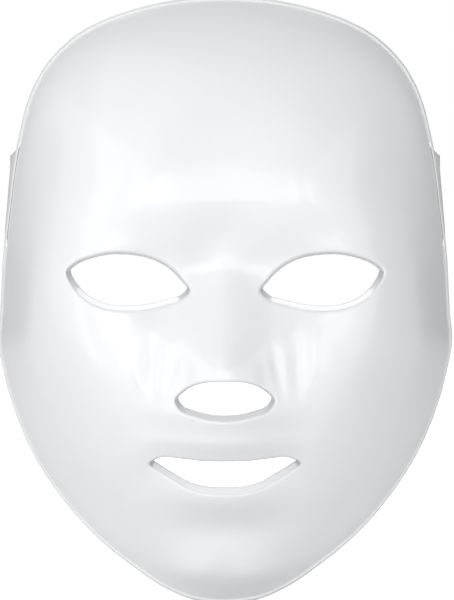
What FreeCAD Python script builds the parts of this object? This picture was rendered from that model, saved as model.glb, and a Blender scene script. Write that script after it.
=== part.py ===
import FreeCAD, Part

import math
import os

from FreeCAD import Rotation, Vector

# LED face mask: a glossy front shell, an inner shell with a window for every LED, flexible LED boards between
# them, a control jack at the wearer's left cheek and an elastic head strap through slots in two temple wings.
# Millimetres. +Z is up, the mask faces -Y and the wearer's head is on +Y. The origin is midway between the two
# strap slots. The form of the face is a depth y over the position (x, z), and every skin is an offset of it.

# ---- outline, rear rim and dome
OUTLINE_CENTRE_Z = -41.5
# (degrees above +X, radius) of the rim about the outline's centre, from past the crown down past the chin
OUTLINE = [(105, 118.0), (90, 117.5), (75, 118.0), (62, 118.2), (54, 115.6), (47, 110.8), (40, 104.4), (32, 98.0),
           (24, 93.2), (15, 90.3), (5, 89.3), (-4, 90.3), (-12, 93.2), (-20, 93.9), (-30, 95.4),
           (-40, 97.6), (-50, 100.4), (-60, 104.2), (-70, 108.8), (-79, 114.4), (-84, 116.7), (-90, 117.4),
           (-96, 116.7)]
# (z, y) of the rear rim, seen from the side
RIM = [(76, -29), (58, -26), (38, -23), (18, -19.5), (-5, -16.5), (-25, -13), (-45, -8), (-58, -6), (-68, -9),
       (-84, -17), (-100, -25), (-114, -31), (-130, -37), (-144, -40.5), (-159, -42)]
FRONT_Y = -77.0             # the dome's foremost point, before the nose
CENTRE_DEPTH = 55.0
ARC_FRACTION = 0.955        # how far round its elliptical arc the dome's section goes at the rim
ARC_LIMIT = 1.035           # past this share of the rim's radius the section runs on straight
GAUGE_HALF_WIDTH = 90.0
GAUGE_HALF_HEIGHT = 118.0
RELIEF_FADE = (0.82, 0.18)  # the relief dies away over this share of the rim's radius, from and for

# ---- relief of the face: (depth, x, z, half width, half height, power across, power up, tilt in degrees)
# A positive depth is a hollow. A feature beside the middle has its mirror image on the other side.
RELIEF = [(8.8, 20, -29.3, 21.2, 17.6, 2.2, 2.2, 0),      # eye sockets
          (1.9, 9.8, -26.4, 8.1, 7.9, 2, 2, 0),           # inner corners of the eyes
          (-2.0, 37.4, 0.3, 33, 13.6, 2, 2, -6),          # brows
          (1.3, 0, -8.5, 13, 16, 2, 2, 0),                # between the brows
          (1.6, 42.8, -49.7, 9.9, 11.4, 2, 2, -24),       # under the eyes
          (-5.9, 44.7, -77.2, 20.2, 43.3, 2, 2, 0),       # cheeks
          (-8.6, 78.8, -44.3, 32.8, 28.5, 2, 2, 0),       # cheekbones
          (0.8, 66.5, -96.5, 17.2, 18.8, 2, 2, 0),        # hollows below the cheekbones
          (1.6, 27.3, -61.6, 3.6, 10.3, 2, 2, 0),         # beside the nose
          (-7.3, 0, -91.2, 40.7, 31.5, 2.4, 2.4, 0),      # round of the mouth
          (2.0, 0, -102.5, 30, 6, 4, 2, 0),               # line of the mouth
          (3.4, 0, -127, 21.7, 8.3, 3, 2, 0),             # fold under the lower lip
          (-8.9, 16.6, -151, 15, 9, 2.2, 2.2, 0),         # chin
          (3.2, 50.7, -130.7, 12.6, 24, 2, 2, 0),         # jaw
          (-1.6, 0, 37.4, 28, 21.4, 2, 2, 0),             # middle of the forehead
          (-2.5, 30.9, 21.7, 19.8, 22, 2, 2, 0),          # sides of the forehead
          (2.5, 76, 31.6, 20.8, 22.3, 2, 2, 0)]           # temples
FINE_RELIEF = [(-0.6, 40.4, -18, 15.6, 4.2, 2, 2, -8),    # ridges of the brows
               (0.8, 19.7, -63.3, 2.1, 10.9, 2, 2, 11),   # creases beside the tip of the nose
               (1.0, 17, -66, 5.3, 10.2, 2.4, 2.4, 0),
               (-2.2, 0, -62.4, 6.7, 8.1, 2, 2, 0),       # tip of the nose
               (-0.4, 37.3, -85.7, 5.3, 16.4, 2, 2, -30), # folds from the nose to the mouth
               (-2.5, 0, -91.4, 29.8, 4, 4, 2, 0),        # upper lip
               (0.5, 18.9, -92.2, 8.6, 3.9, 2, 2, 0),
               (-1.2, 0, -113.2, 24.6, 6.2, 3, 2, 0),     # lower lip
               (-1.1, 35.1, -99, 6.4, 7.9, 2, 2, 0),      # corners of the mouth
               (-0.6, 30.2, -116.1, 5.2, 6.1, 2, 2, 0),
               (1.0, 0, -146.2, 4.9, 7.8, 2, 2, 0)]       # middle of the chin
# (z, how far the nose and the middle of the face below it stand out), and its half width
MIDLINE_HEIGHT = [(0, -0.2), (-14, -2.9), (-26, -0.8), (-38, 2.5), (-50, 5.6), (-60, 8.6), (-68, 10.2),
                  (-80, 11.1), (-92, 5.6)]
MIDLINE_HALF_WIDTH = [(0, 14.7), (-20, 11.9), (-40, 14.0), (-60, 17.4), (-80, 22.3)]
MIDLINE_POWER = 2.16
LINING_MIDLINE = (0.85, 3.0)    # the inner shell's midline: share of the height, extra half width

# ---- openings: half or whole outlines as (x, z)
EYE = [(60.5, -27.5), (57, -24.4), (51, -21.9), (43.5, -20.3), (35.5, -20.5), (28, -22.1), (21.6, -25.4),
       (16.4, -30.3), (13.4, -34.6), (16.6, -37.9), (22, -39.6), (29, -41.2), (37, -41.9), (45.4, -41.1),
       (52, -38.6), (57, -34.6)]
NOSE_HALF = [(0, -66.9), (6, -67.1), (11, -68.3), (15.6, -70.9), (18.7, -74.6), (16.8, -78), (11, -80.2),
             (5, -81.4), (0, -81.7)]
MOUTH_HALF = [(0, -98.3), (8, -98.3), (17, -97.7), (24.5, -97.7), (28.7, -100.3), (25, -103.2), (19.5, -106.4),
              (14, -109.3), (7.5, -110.9), (0, -111.2)]

# ---- walls, measured along the form's normal from the outer face
SHELL_WALL = 2.2
SEAM = 0.15                 # clearance between the two shells
LINING_FRONT = 6.4
LINING_BACK = 8.0
BOARD_FRONT = 4.7
BOARD_BACK = 5.2
LINK_THICKNESS = 0.3
LIP_PROUD = 0.7             # how far the inner shell's rim stands out past the front shell
LIP_DEPTH = 1.8
COLLAR_WALL = 1.4

# ---- skin grid
GRID_STEP = 4.0
GRID_X = 96.0
GRID_LOW_Z = -166.0
GRID_HIGH_Z = 82.0

# ---- temple wings and strap slots
WING_WALL = 2.0
WING_LOW_Z = -21.0
WING_HIGH_Z = 20.0
WING_REAR_Y = 8.0
WING_CORNER = 9.0
WING_ROOT = 5.0             # how far a wing's root reaches forward inside the shell's wall
WING_KINK = 0.6             # how far behind the rim the root turns into the wing
WALL_LEAN = 0.36
WING_CREST_X = 87.4         # a wing swells outwards to its crest, then comes in to a straight bar for the strap
WING_CREST_PER_Z = -0.08
WING_CREST_Y = -5.0
WING_BAR_X = 85.2
WING_BAR_Y = 1.5
WING_CLEARANCE = 0.4
SLOT_HALF_HEIGHT = 16.0
SLOT_HALF_WIDTH = 2.25

# ---- LEDs and boards: outlines as (x, z), halves are mirrored about x = 0
LED_PITCH_X = 10.4
LED_PITCH_Z = 9.6
LED_RADIUS = 2.3
LED_FLANGE_RADIUS = 2.55
LED_FLANGE_HEIGHT = 0.8
LED_BODY_HEIGHT = 1.4
LED_EDGE_MARGIN = 3.3
LED_GAP = 0.25
WINDOW_RADIUS = 2.6
BOARD_CORNER = 4.0
FOREHEAD_HALF = [(0, 4), (34, 6), (60, 16), (65, 28), (57, 46), (37, 58), (0, 62)]
NOSE_BOARD_HALF = [(0, 0), (9, -2), (9.5, -44), (13, -57), (0, -61)]
LIP_BOARD_HALF = [(0, -86), (25, -87), (25, -94), (0, -93.5)]
CHIN_HALF = [(0, -117), (22, -115.5), (39, -121), (33, -134), (17, -142.5), (0, -144)]
CHEEK = [(55, 0), (73, -2), (76.5, -40), (76.5, -64), (70, -88), (56, -108), (40, -114), (34, -106),
         (34, -92), (26, -84), (25, -58), (26, -47), (40, -47.5), (56, -43), (65, -33), (65, -16), (55, -10)]
# strips that join the boards, as (x centre, z centre, half width, half height)
LINKS = [(0, 2, 4, 6), (58, 6, 3, 13), (-58, 6, 3, 13), (38, -117, 3, 9), (-38, -117, 3, 9),
         (29, -89.5, 8, 2.2), (-29, -89.5, 8, 2.2)]
RESISTOR = (3.1, 0.55, 1.6)
RESISTOR_EVERY = 4

# ---- screws that close the two shells, one side
SCREWS = [(38, 52), (67, 5), (69, -62), (48, -113)]
SCREW_KEEP_OUT = 8.0
PAD_RADIUS = 3.0
PAD_PROUD = 0.4             # how far a pad stands out at the back, so that its edge clears the curved skin
PAD_BASE_DEPTH = 2.4
PAD_DEPTH_PER_SLOPE = 1.85
BOSS_RADIUS = 2.5
HEAD_RADIUS = 2.0
HEAD_HEIGHT = 1.2
HEAD_SEAT = 1.4
SHANK_RADIUS = 1.0
SHANK_LENGTH = 6.0
SHANK_HOLE_DEPTH = 7.5

# ---- nose rest, a soft saddle on the inner shell
NOSE_REST_HALF = [(0, -29), (8.5, -30), (10.5, -47), (0, -49)]
NOSE_REST_CENTRE = (0, -39)
NOSE_REST_THICKNESS = 3.6
NOSE_REST_KEEP_OUT = 14.0

# ---- control jack, 3.5 mm, on the wearer's left
JACK_X = 75.4
JACK_Z = -76.0
JACK_REAR_Y = -10.6
JACK_BORE_RADIUS = 1.8
JACK_SLEEVE_RADIUS = 2.5
JACK_WALL = 1.6             # the pod's rear wall, which the sleeve passes through
JACK_BODY = (5.0, 12.0, 6.0)
JACK_FIT = 0.06
JACK_END_WALL = 0.6
POD_WALL = 1.4
PIN_PITCH = 1.4
PIN_LENGTH = 2.0
LEAD_RADIUS = 0.4
LEAD_REACH = 8.5            # from the jack's middle to where its leads meet the board
LEAD_CLEARANCE = 0.3

# ---- head strap
STRAP_THICKNESS = 1.2
STRAP_HALF_WIDTH = 15.0
STRAP_INNER_X = 82.2        # centre of the layer inside the wings, and radius of the loop behind the head
STRAP_OUTER_X = 87.0        # centre of the layer outside the wings
STRAP_TURN_Y = 1.8
STRAP_STRAIGHT = 30.0
STRAP_HINGE_RADIUS = 22.0
STRAP_HINGE_GAP = 0.2
PATCH_THICKNESS = 0.8
LAYER_GAP = 0.15
TAB_START = 6.0             # degrees round the loop from its straight side
TAB_END = 44.0
PATCH_START = 12.0
PATCH_END = 42.0

FAR = 200.0                 # longer than any piece
FAR_AHEAD = 12.0            # further than any boss or pod stands ahead of the glossy face


# ---------------------------------------------------------------- the form of the face
def smooth_step(t):
    t = min(1.0, max(0.0, t))
    return t * t * (3 - 2 * t)


def through(points, t):
    """A smooth curve through (t, value) points listed in falling t, held at its end values."""
    if t >= points[0][0]:
        return points[0][1]
    if t <= points[-1][0]:
        return points[-1][1]
    k = 0
    while points[k + 1][0] > t:
        k += 1

    def slope(i):
        before = points[max(i - 1, 0)]
        after = points[min(i + 1, len(points) - 1)]
        return (after[1] - before[1]) / (after[0] - before[0])

    start, end = points[k], points[k + 1]
    span = end[0] - start[0]
    s = (t - start[0]) / span
    return ((2 * s ** 3 - 3 * s ** 2 + 1) * start[1] + (s ** 3 - 2 * s ** 2 + s) * span * slope(k)
            + (-2 * s ** 3 + 3 * s ** 2) * end[1] + (s ** 3 - s ** 2) * span * slope(k + 1))


def rim_y(z):
    return through(RIM, z)


def outline_radius(angle):
    return through(OUTLINE, angle)


def half_width(z):
    """Half the mask's width at the rim, at height z."""
    low, high = 0.0, 2 * GAUGE_HALF_WIDTH
    rise = z - OUTLINE_CENTRE_Z
    for _ in range(40):
        middle = (low + high) / 2
        if math.hypot(middle, rise) < outline_radius(math.degrees(math.atan2(rise, middle))):
            low = middle
        else:
            high = middle
    return low


def from_centre(x, z):
    """Distance from the outline's centre, the angle above the side, and the rim's radius at that angle."""
    across, rise = abs(x), z - OUTLINE_CENTRE_Z
    angle = math.degrees(math.atan2(rise, max(across, 1e-9)))
    return math.hypot(across, rise), angle, outline_radius(angle)


def dome(x, z):
    """Depth of the plain dome: an elliptical arc from its foremost point out to the rim."""
    across, rise = abs(x), z - OUTLINE_CENTRE_Z
    distance, angle, rim_radius = from_centre(x, z)
    by_ellipse = math.hypot(across / GAUGE_HALF_WIDTH, rise / GAUGE_HALF_HEIGHT)
    near_rim = smooth_step((by_ellipse - 0.25) / 0.7)
    share = math.sqrt((1 - near_rim) * by_ellipse ** 2 + near_rim * (distance / rim_radius) ** 2)
    rim_depth = rim_y(OUTLINE_CENTRE_Z + rim_radius * math.sin(math.radians(angle))) - FRONT_Y
    depth = CENTRE_DEPTH + (rim_depth - CENTRE_DEPTH) * near_rim
    full = 1 - math.sqrt(1 - ARC_FRACTION ** 2)
    turn = ARC_FRACTION * min(share, ARC_LIMIT)
    arc = (1 - math.sqrt(1 - turn ** 2)) / full
    slope = ARC_FRACTION * turn / math.sqrt(1 - turn ** 2) / full
    return FRONT_Y + depth * (arc + slope * max(0.0, share - ARC_LIMIT))


def relief(features, x, z):
    """Depth that the features add at a place, before it fades towards the rim."""
    total = 0.0
    for depth, at_x, at_z, half_wide, half_high, power_x, power_z, tilt in features:
        turn = math.radians(tilt)
        rise = z - at_z
        for side in (1, -1) if at_x else (1,):
            out = side * x - at_x
            across = abs((out * math.cos(turn) + rise * math.sin(turn)) / half_wide) ** power_x
            up = abs((rise * math.cos(turn) - out * math.sin(turn)) / half_high) ** power_z
            total += depth * math.exp(-across - up)
    return total


def midline(x, z, share, extra_width):
    half_wide = through(MIDLINE_HALF_WIDTH, z) + extra_width
    return share * through(MIDLINE_HEIGHT, z) * math.exp(-abs(x / half_wide) ** MIDLINE_POWER)


def fade(x, z):
    distance, _, rim_radius = from_centre(x, z)
    return 1 - smooth_step((distance / rim_radius - RELIEF_FADE[0]) / RELIEF_FADE[1])


def form(x, z):
    """Depth of the glossy outer face."""
    return dome(x, z) + fade(x, z) * (relief(RELIEF + FINE_RELIEF, x, z) - midline(x, z, 1.0, 0.0))


def lining(x, z):
    """Depth of the smoother form that the inner shell and the boards follow."""
    return dome(x, z) + fade(x, z) * (relief(RELIEF, x, z) - midline(x, z, *LINING_MIDLINE))


def normal_at(depth, x, z):
    step = 0.5
    slope_x = (depth(x + step, z) - depth(x - step, z)) / (2 * step)
    slope_z = (depth(x, z + step) - depth(x, z - step)) / (2 * step)
    normal = Vector(-slope_x, 1, -slope_z)
    return normal.normalize()


def offset_point(depth, x, z, distance):
    """The point that lies a distance behind the surface, along its normal."""
    return Vector(x, depth(x, z), z) + normal_at(depth, x, z) * distance


# ---------------------------------------------------------------- solids from skins
def skin(depth, distance):
    columns = int(round(2 * GRID_X / GRID_STEP)) + 1
    rows = int(round((GRID_HIGH_Z - GRID_LOW_Z) / GRID_STEP)) + 1
    grid = []
    for i in range(columns):
        x = -GRID_X + i * GRID_STEP
        grid.append([offset_point(depth, x, GRID_LOW_Z + j * GRID_STEP, distance) for j in range(rows)])
    surface = Part.BSplineSurface()
    surface.interpolate(grid)
    return surface


def closed_solid(faces):
    shell = Part.Shell(faces)
    shell.sewShape()
    solid = Part.Solid(shell)
    if solid.Volume < 0:
        solid.reverse()
    return solid


def slab(front, back):
    """The solid between two skins."""
    u_low, u_high, v_low, v_high = front.bounds()
    faces = [front.toShape(), back.toShape()]
    for u in (u_low, u_high):
        faces.append(Part.makeRuledSurface(front.uIso(u).toShape(), back.uIso(u).toShape()))
    for v in (v_low, v_high):
        faces.append(Part.makeRuledSurface(front.vIso(v).toShape(), back.vIso(v).toShape()))
    return closed_solid(faces)


def ahead_of_rim(shift):
    """Everything in front of the rear rim, moved back by shift."""
    steps = int((GRID_HIGH_Z - GRID_LOW_Z) / GRID_STEP)
    heights = [GRID_LOW_Z - 2 + i * (GRID_HIGH_Z - GRID_LOW_Z + 4) / steps for i in range(steps + 1)]
    curve = Part.BSplineCurve()
    curve.interpolate([Vector(-FAR / 2, rim_y(z) + shift, z) for z in heights])
    low, high = curve.StartPoint, curve.EndPoint
    corners = [high, Vector(high.x, -FAR, high.z), Vector(low.x, -FAR, low.z), low]
    face = Part.Face(Part.Wire([curve.toShape()] + Part.makePolygon(corners).Edges))
    return face.extrude(Vector(FAR, 0, 0))


def prism(wire, y_low=-FAR, y_high=FAR):
    """A prism along Y from a closed wire that lies in the plane y = 0."""
    return Part.Face(wire.translated(Vector(0, y_low, 0))).extrude(Vector(0, y_high - y_low, 0))


def mirrored(shape):
    return shape.mirror(Vector(0, 0, 0), Vector(1, 0, 0))


def whole(half):
    """A closed outline from the half that starts and ends at x = 0."""
    return half + [(-x, z) for x, z in half[-2:0:-1]]


def grown(points, distance):
    """The outline moved outwards, point by point. A negative distance moves it inwards."""
    count = len(points)
    area = sum(points[i - 1][0] * points[i][1] - points[i][0] * points[i - 1][1] for i in range(count))
    side = 1 if area > 0 else -1
    moved = []
    for i, (x, z) in enumerate(points):
        along_x = points[(i + 1) % count][0] - points[i - 1][0]
        along_z = points[(i + 1) % count][1] - points[i - 1][1]
        length = math.hypot(along_x, along_z)
        moved.append((x + side * distance * along_z / length, z - side * distance * along_x / length))
    return moved


def smooth_wire(points):
    curve = Part.BSplineCurve()
    curve.interpolate([Vector(x, 0, z) for x, z in points], True)
    return Part.Wire([curve.toShape()])


def rounded_wire(points, radius):
    """A closed polygon whose corners are arcs, smaller where its sides are short."""
    corners = [Vector(x, 0, z) for x, z in points]
    edges = []
    ends = []
    for i, corner in enumerate(corners):
        before = corners[i - 1] - corner
        after = corners[(i + 1) % len(corners)] - corner
        shorter = min(before.Length, after.Length)
        half_turn = before.getAngle(after) / 2
        reach = min(radius / math.tan(half_turn), 0.45 * shorter)
        arc_radius = reach * math.tan(half_turn)
        before.normalize()
        after.normalize()
        bisector = (before + after).normalize()
        middle = corner + bisector * (arc_radius / math.sin(half_turn) - arc_radius)
        start, end = corner + before * reach, corner + after * reach
        edges.append(Part.Arc(start, middle, end).toShape())
        ends.append((start, end))
    for i, (start, _) in enumerate(ends):
        edges.append(Part.makeLine(ends[i - 1][1], start))
    return Part.Wire(Part.__sortEdges__(edges))


def openings(distance):
    """Prisms through the eyes, the nose and the mouth, grown by a distance."""
    eye = prism(smooth_wire(grown(EYE, distance)))
    return [eye, mirrored(eye), prism(smooth_wire(grown(whole(NOSE_HALF), distance))),
            prism(smooth_wire(grown(whole(MOUTH_HALF), distance)))]


def screw_places():
    return [(side * x, z) for x, z in SCREWS for side in (1, -1)]


def screw_frame(x, z):
    """Depth of the inner shell's rear skin at a screw, and the depth of the pad around it."""
    normal = normal_at(lining, x, z)
    back_y = lining(x, z) + LINING_BACK / normal.y
    slope = math.hypot(normal.x, normal.z) / normal.y
    return back_y, PAD_BASE_DEPTH + PAD_DEPTH_PER_SLOPE * slope


def post(radius, x, z, y_from, y_to):
    """A round post along Y."""
    return Part.makeCylinder(radius, y_to - y_from, Vector(x, y_from, z), Vector(0, 1, 0))


# ---------------------------------------------------------------- front shell
def wing_plate(grow):
    """The right temple wing before its corners are rounded, thickened by grow on each side."""
    sections = []
    for z in (-27, -18, -9, 0, 9, 18, 27):
        rim = rim_y(z)
        wall = half_width(z) - SEAM
        outer = [(wall - WING_ROOT * WALL_LEAN, rim - WING_ROOT), (wall + WING_KINK * WALL_LEAN, rim + WING_KINK),
                 (WING_CREST_X + WING_CREST_PER_Z * z, WING_CREST_Y), (WING_BAR_X, WING_BAR_Y),
                 (WING_BAR_X, WING_REAR_Y + 2 + grow)]
        inner = [(x - WING_WALL, y) for x, y in outer]
        ring = [(x + grow, y) for x, y in outer] + [(x - grow, y) for x, y in reversed(inner)]
        points = [Vector(x, y, z) for x, y in ring]
        sections.append(Part.makePolygon(points + points[:1]))
    return Part.makeLoft(sections, True, False)


def wing_side(grow):
    """Side outline of a wing, with round rear corners, as a block right across the mask."""
    low, high, rear = WING_LOW_Z - grow, WING_HIGH_Z + grow, WING_REAR_Y + grow
    front = -FAR / 4
    r = WING_CORNER
    far = -FAR / 2
    cut = r * (1 - math.sqrt(0.5))
    edges = [Part.makeLine(Vector(far, front, low), Vector(far, rear - r, low)),
             Part.Arc(Vector(far, rear - r, low), Vector(far, rear - cut, low + cut),
                      Vector(far, rear, low + r)).toShape(),
             Part.makeLine(Vector(far, rear, low + r), Vector(far, rear, high - r)),
             Part.Arc(Vector(far, rear, high - r), Vector(far, rear - cut, high - cut),
                      Vector(far, rear - r, high)).toShape(),
             Part.makeLine(Vector(far, rear - r, high), Vector(far, front, high)),
             Part.makeLine(Vector(far, front, high), Vector(far, front, low))]
    return Part.Face(Part.Wire(edges)).extrude(Vector(FAR, 0, 0))


def slot():
    """The strap slot through both wings."""
    straight = SLOT_HALF_HEIGHT - SLOT_HALF_WIDTH
    block = Part.makeBox(FAR, 2 * SLOT_HALF_WIDTH, 2 * straight, Vector(-FAR / 2, -SLOT_HALF_WIDTH, -straight))
    for z in (-straight, straight):
        block = block.fuse(Part.makeCylinder(SLOT_HALF_WIDTH, FAR, Vector(-FAR / 2, 0, z), Vector(1, 0, 0)))
    return block.removeSplitter()


def make_wings():
    wing = wing_plate(0).common(wing_side(0)).cut(slot())
    return [wing, mirrored(wing)]


def make_front_shell(outer_skin, back_skin, collar_skin):
    """The glossy shell, with a collar that runs back round each opening, and the bosses for the screws."""
    wall = slab(outer_skin, back_skin).common(ahead_of_rim(0)).cut(openings(0))
    depth = slab(skin(form, SHELL_WALL / 2), collar_skin)
    collars = [outer.cut(inner).common(depth) for outer, inner in zip(openings(COLLAR_WALL), openings(0))]
    bosses = []
    holes = []
    for x, z in screw_places():
        back_y, pad = screw_frame(x, z)
        normal = normal_at(form, x, z)
        inside_wall = form(x, z) + SHELL_WALL / 2 / normal.y
        bosses.append(post(BOSS_RADIUS, x, z, inside_wall, back_y - pad - SEAM))
        holes.append(post(SHANK_RADIUS + 0.02, x, z, back_y - SHANK_HOLE_DEPTH, back_y))
    outside = slab(skin(form, -FAR_AHEAD), skin(form, SHELL_WALL / 2))
    bosses = [boss.cut(outside) for boss in bosses]
    return wall.fuse(collars + make_wings() + bosses).cut(holes)


# ---------------------------------------------------------------- inner shell
def largest(shape):
    return max(shape.Solids, key=lambda piece: piece.Volume)


def make_pod():
    """The housing of the control jack, before its cavity is cut."""
    width, length, height = JACK_BODY
    front_y = JACK_REAR_Y - JACK_WALL - length - 1.0
    corner = Vector(JACK_X - width / 2 - POD_WALL, front_y, JACK_Z - height / 2 - POD_WALL)
    return Part.makeBox(width + 2 * POD_WALL, JACK_REAR_Y - front_y, height + 2 * POD_WALL, corner)


def pod_cavity():
    width, length, height = (side + 2 * JACK_FIT for side in JACK_BODY)
    inner_y = JACK_REAR_Y - JACK_WALL
    corner = Vector(JACK_X - width / 2, inner_y - length - PIN_LENGTH - 1, JACK_Z - height / 2)
    block = Part.makeBox(width, length + PIN_LENGTH + 1, height, corner)
    return block.fuse(post(JACK_SLEEVE_RADIUS + JACK_FIT, JACK_X, JACK_Z, inner_y - 1, JACK_REAR_Y + 1))


def make_inner_shell(leds, front_skin, back_skin, seam_skin):
    behind = slab(skin(form, -LIP_PROUD), back_skin).common(ahead_of_rim(SEAM + LIP_DEPTH))
    hollow = slab(skin(form, -LIP_PROUD - 5), front_skin).common(ahead_of_rim(SEAM))
    shell = behind.cut(hollow).cut(openings(COLLAR_WALL + SEAM))
    pads, bores = [], []
    for x, z in screw_places():
        back_y, pad = screw_frame(x, z)
        pads.append(post(PAD_RADIUS, x, z, back_y - pad, back_y + PAD_PROUD))
        bores.append(post(HEAD_RADIUS + 0.3, x, z, back_y - HEAD_SEAT, back_y + 8))
        bores.append(post(SHANK_RADIUS + 0.2, x, z, back_y - pad - 8, back_y))
        bores.append(post(BOSS_RADIUS + SEAM, x, z, back_y - pad - 8, back_y - pad))
    leads = jack_leads(LEAD_RADIUS + LEAD_CLEARANCE)
    pod = largest(make_pod().cut(slab(skin(form, -FAR_AHEAD), seam_skin)))
    shell = shell.fuse(pads + [pod]).cut(bores + [pod_cavity()] + leads)
    clearance = wing_plate(WING_CLEARANCE).common(wing_side(WING_CLEARANCE))
    shell = shell.cut([clearance, mirrored(clearance)])
    windows = [Part.makeCylinder(WINDOW_RADIUS, 6, led_seat(x, z, LINING_FRONT - 2), normal_at(lining, x, z))
               for places in leds.values() for x, z in places]
    return largest(shell.cut(windows))


# ---------------------------------------------------------------- boards, LEDs, links and resistors
def board_outlines():
    return {"forehead": whole(FOREHEAD_HALF), "nose": whole(NOSE_BOARD_HALF), "lip": whole(LIP_BOARD_HALF),
            "chin": whole(CHIN_HALF), "cheek_left": CHEEK, "cheek_right": [(-x, z) for x, z in CHEEK]}


def jack_notch():
    """Room for the jack's pod, cut from the board beside it."""
    width, _, height = JACK_BODY
    left = JACK_X - width / 2 - POD_WALL - 1
    half = height / 2 + POD_WALL + 1
    return Part.makeBox(FAR, FAR, 2 * half, Vector(left, -FAR / 2, JACK_Z - half))


def edge_distance(points, x, z):
    """Distance from a place to a polygon's edge, negative outside it."""
    inside = False
    nearest = FAR
    for i, (bx, bz) in enumerate(points):
        ax, az = points[i - 1]
        if (az > z) != (bz > z) and x < (bx - ax) * (z - az) / (bz - az) + ax:
            inside = not inside
        run_x, run_z = bx - ax, bz - az
        share = ((x - ax) * run_x + (z - az) * run_z) / (run_x ** 2 + run_z ** 2)
        share = min(1.0, max(0.0, share))
        nearest = min(nearest, math.hypot(x - ax - share * run_x, z - az - share * run_z))
    return nearest if inside else -nearest


def clear_of_fittings(x, z, margin):
    """True where a board carries nothing else: no screw, nose rest or jack."""
    if any(math.hypot(x - sx, z - sz) < SCREW_KEEP_OUT for sx, sz in screw_places()):
        return False
    if math.hypot(x - NOSE_REST_CENTRE[0], z - NOSE_REST_CENTRE[1]) < NOSE_REST_KEEP_OUT:
        return False
    width, _, height = JACK_BODY
    beside = x < JACK_X - width / 2 - POD_WALL - 1 - margin
    return beside or abs(z - JACK_Z) > height / 2 + POD_WALL + 1 + margin


def clear_of_links(x, z, margin):
    return all(abs(x - link_x) > half_wide + margin or abs(z - link_z) > half_high + margin
               for link_x, link_z, half_wide, half_high in LINKS)


def led_places():
    """Where the LEDs of each board sit: a staggered grid, kept to the board."""
    places = {}
    for name, outline in board_outlines().items():
        found = []
        for row in range(-16, 8):
            stagger = 0.5 * (row % 2)
            for column in range(-9, 10):
                x, z = (column + stagger) * LED_PITCH_X, row * LED_PITCH_Z
                if edge_distance(outline, x, z) > LED_EDGE_MARGIN and clear_of_fittings(x, z, LED_EDGE_MARGIN):
                    found.append((x, z))
        places[name] = found
    places["lip"] = [(-15, -90), (0, -90), (15, -90)]
    return places


def led_seat(x, z, distance):
    return offset_point(lining, x, z, distance)


def make_board(outline, board_slab, name):
    board = board_slab.common(prism(rounded_wire(outline, BOARD_CORNER if name != "lip" else 1.5)))
    holes = [post(PAD_RADIUS + 0.6, x, z, -FAR, FAR) for x, z in screw_places()
             if edge_distance(outline, x, z) > -PAD_RADIUS - 1]
    if name == "cheek_left":
        holes.append(jack_notch())
    return board.cut(holes) if holes else board


def placed(shape, point, normal):
    copy = shape.copy()
    copy.Placement = FreeCAD.Placement(point, Rotation(Vector(0, 0, 1), normal))
    return copy


def led_bead():
    """One LED standing on z = 0: a flange, a round body and a domed lens."""
    flange = Part.makeCylinder(LED_FLANGE_RADIUS, LED_FLANGE_HEIGHT)
    body = Part.makeCylinder(LED_RADIUS, LED_BODY_HEIGHT)
    lens = Part.makeSphere(LED_RADIUS, Vector(0, 0, LED_BODY_HEIGHT), Vector(0, 0, 1), 0, 90)
    return flange.fuse([body, lens]).removeSplitter()


def board_swell(x, z):
    """How far the board's curved rear face rises over its tangent plane, under an LED's flange."""
    centre = led_seat(x, z, BOARD_BACK)
    normal = normal_at(lining, x, z)
    rises = [0.0]
    for i in range(12):
        turn = math.radians(30 * i)
        rim = led_seat(x + LED_FLANGE_RADIUS * math.cos(turn), z + LED_FLANGE_RADIUS * math.sin(turn), BOARD_BACK)
        rises.append((rim - centre).dot(normal))
    return max(rises)


def make_leds(places):
    bead = led_bead()
    beads = [placed(bead, led_seat(x, z, BOARD_BACK + LED_GAP + board_swell(x, z)), normal_at(lining, x, z))
             for x, z in places]
    return Part.makeCompound(beads)


def make_resistors(leds):
    """A chip resistor beside every few LEDs, on the boards' front side."""
    length, height, width = RESISTOR
    chip = Part.makeBox(length, width, height, Vector(-length / 2, -width / 2, 0))
    chips = []
    outlines = board_outlines()
    for name, places in leds.items():
        for x, z in places[::RESISTOR_EVERY]:
            at_x = x + LED_PITCH_X / 2
            on_board = edge_distance(outlines[name], at_x, z) > length and clear_of_fittings(at_x, z, length)
            if on_board and clear_of_links(at_x, z, length):
                point = led_seat(at_x, z, BOARD_FRONT - 0.08)
                chips.append(placed(chip, point, normal_at(lining, at_x, z) * -1))
    return Part.makeCompound(chips)


def make_links():
    front = skin(lining, BOARD_FRONT - 0.05 - LINK_THICKNESS)
    strip = slab(front, skin(lining, BOARD_FRONT - 0.05))
    links = []
    for x, z, half_wide, half_high in LINKS:
        box = Part.makeBox(2 * half_wide, FAR, 2 * half_high, Vector(x - half_wide, -FAR * 0.75, z - half_high))
        links.append(strip.common(box))
    return Part.makeCompound(links)


def make_nose_rest():
    block = slab(skin(lining, LINING_BACK + SEAM), skin(lining, LINING_BACK + SEAM + NOSE_REST_THICKNESS))
    return block.common(prism(rounded_wire(whole(NOSE_REST_HALF), 3)))


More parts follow.
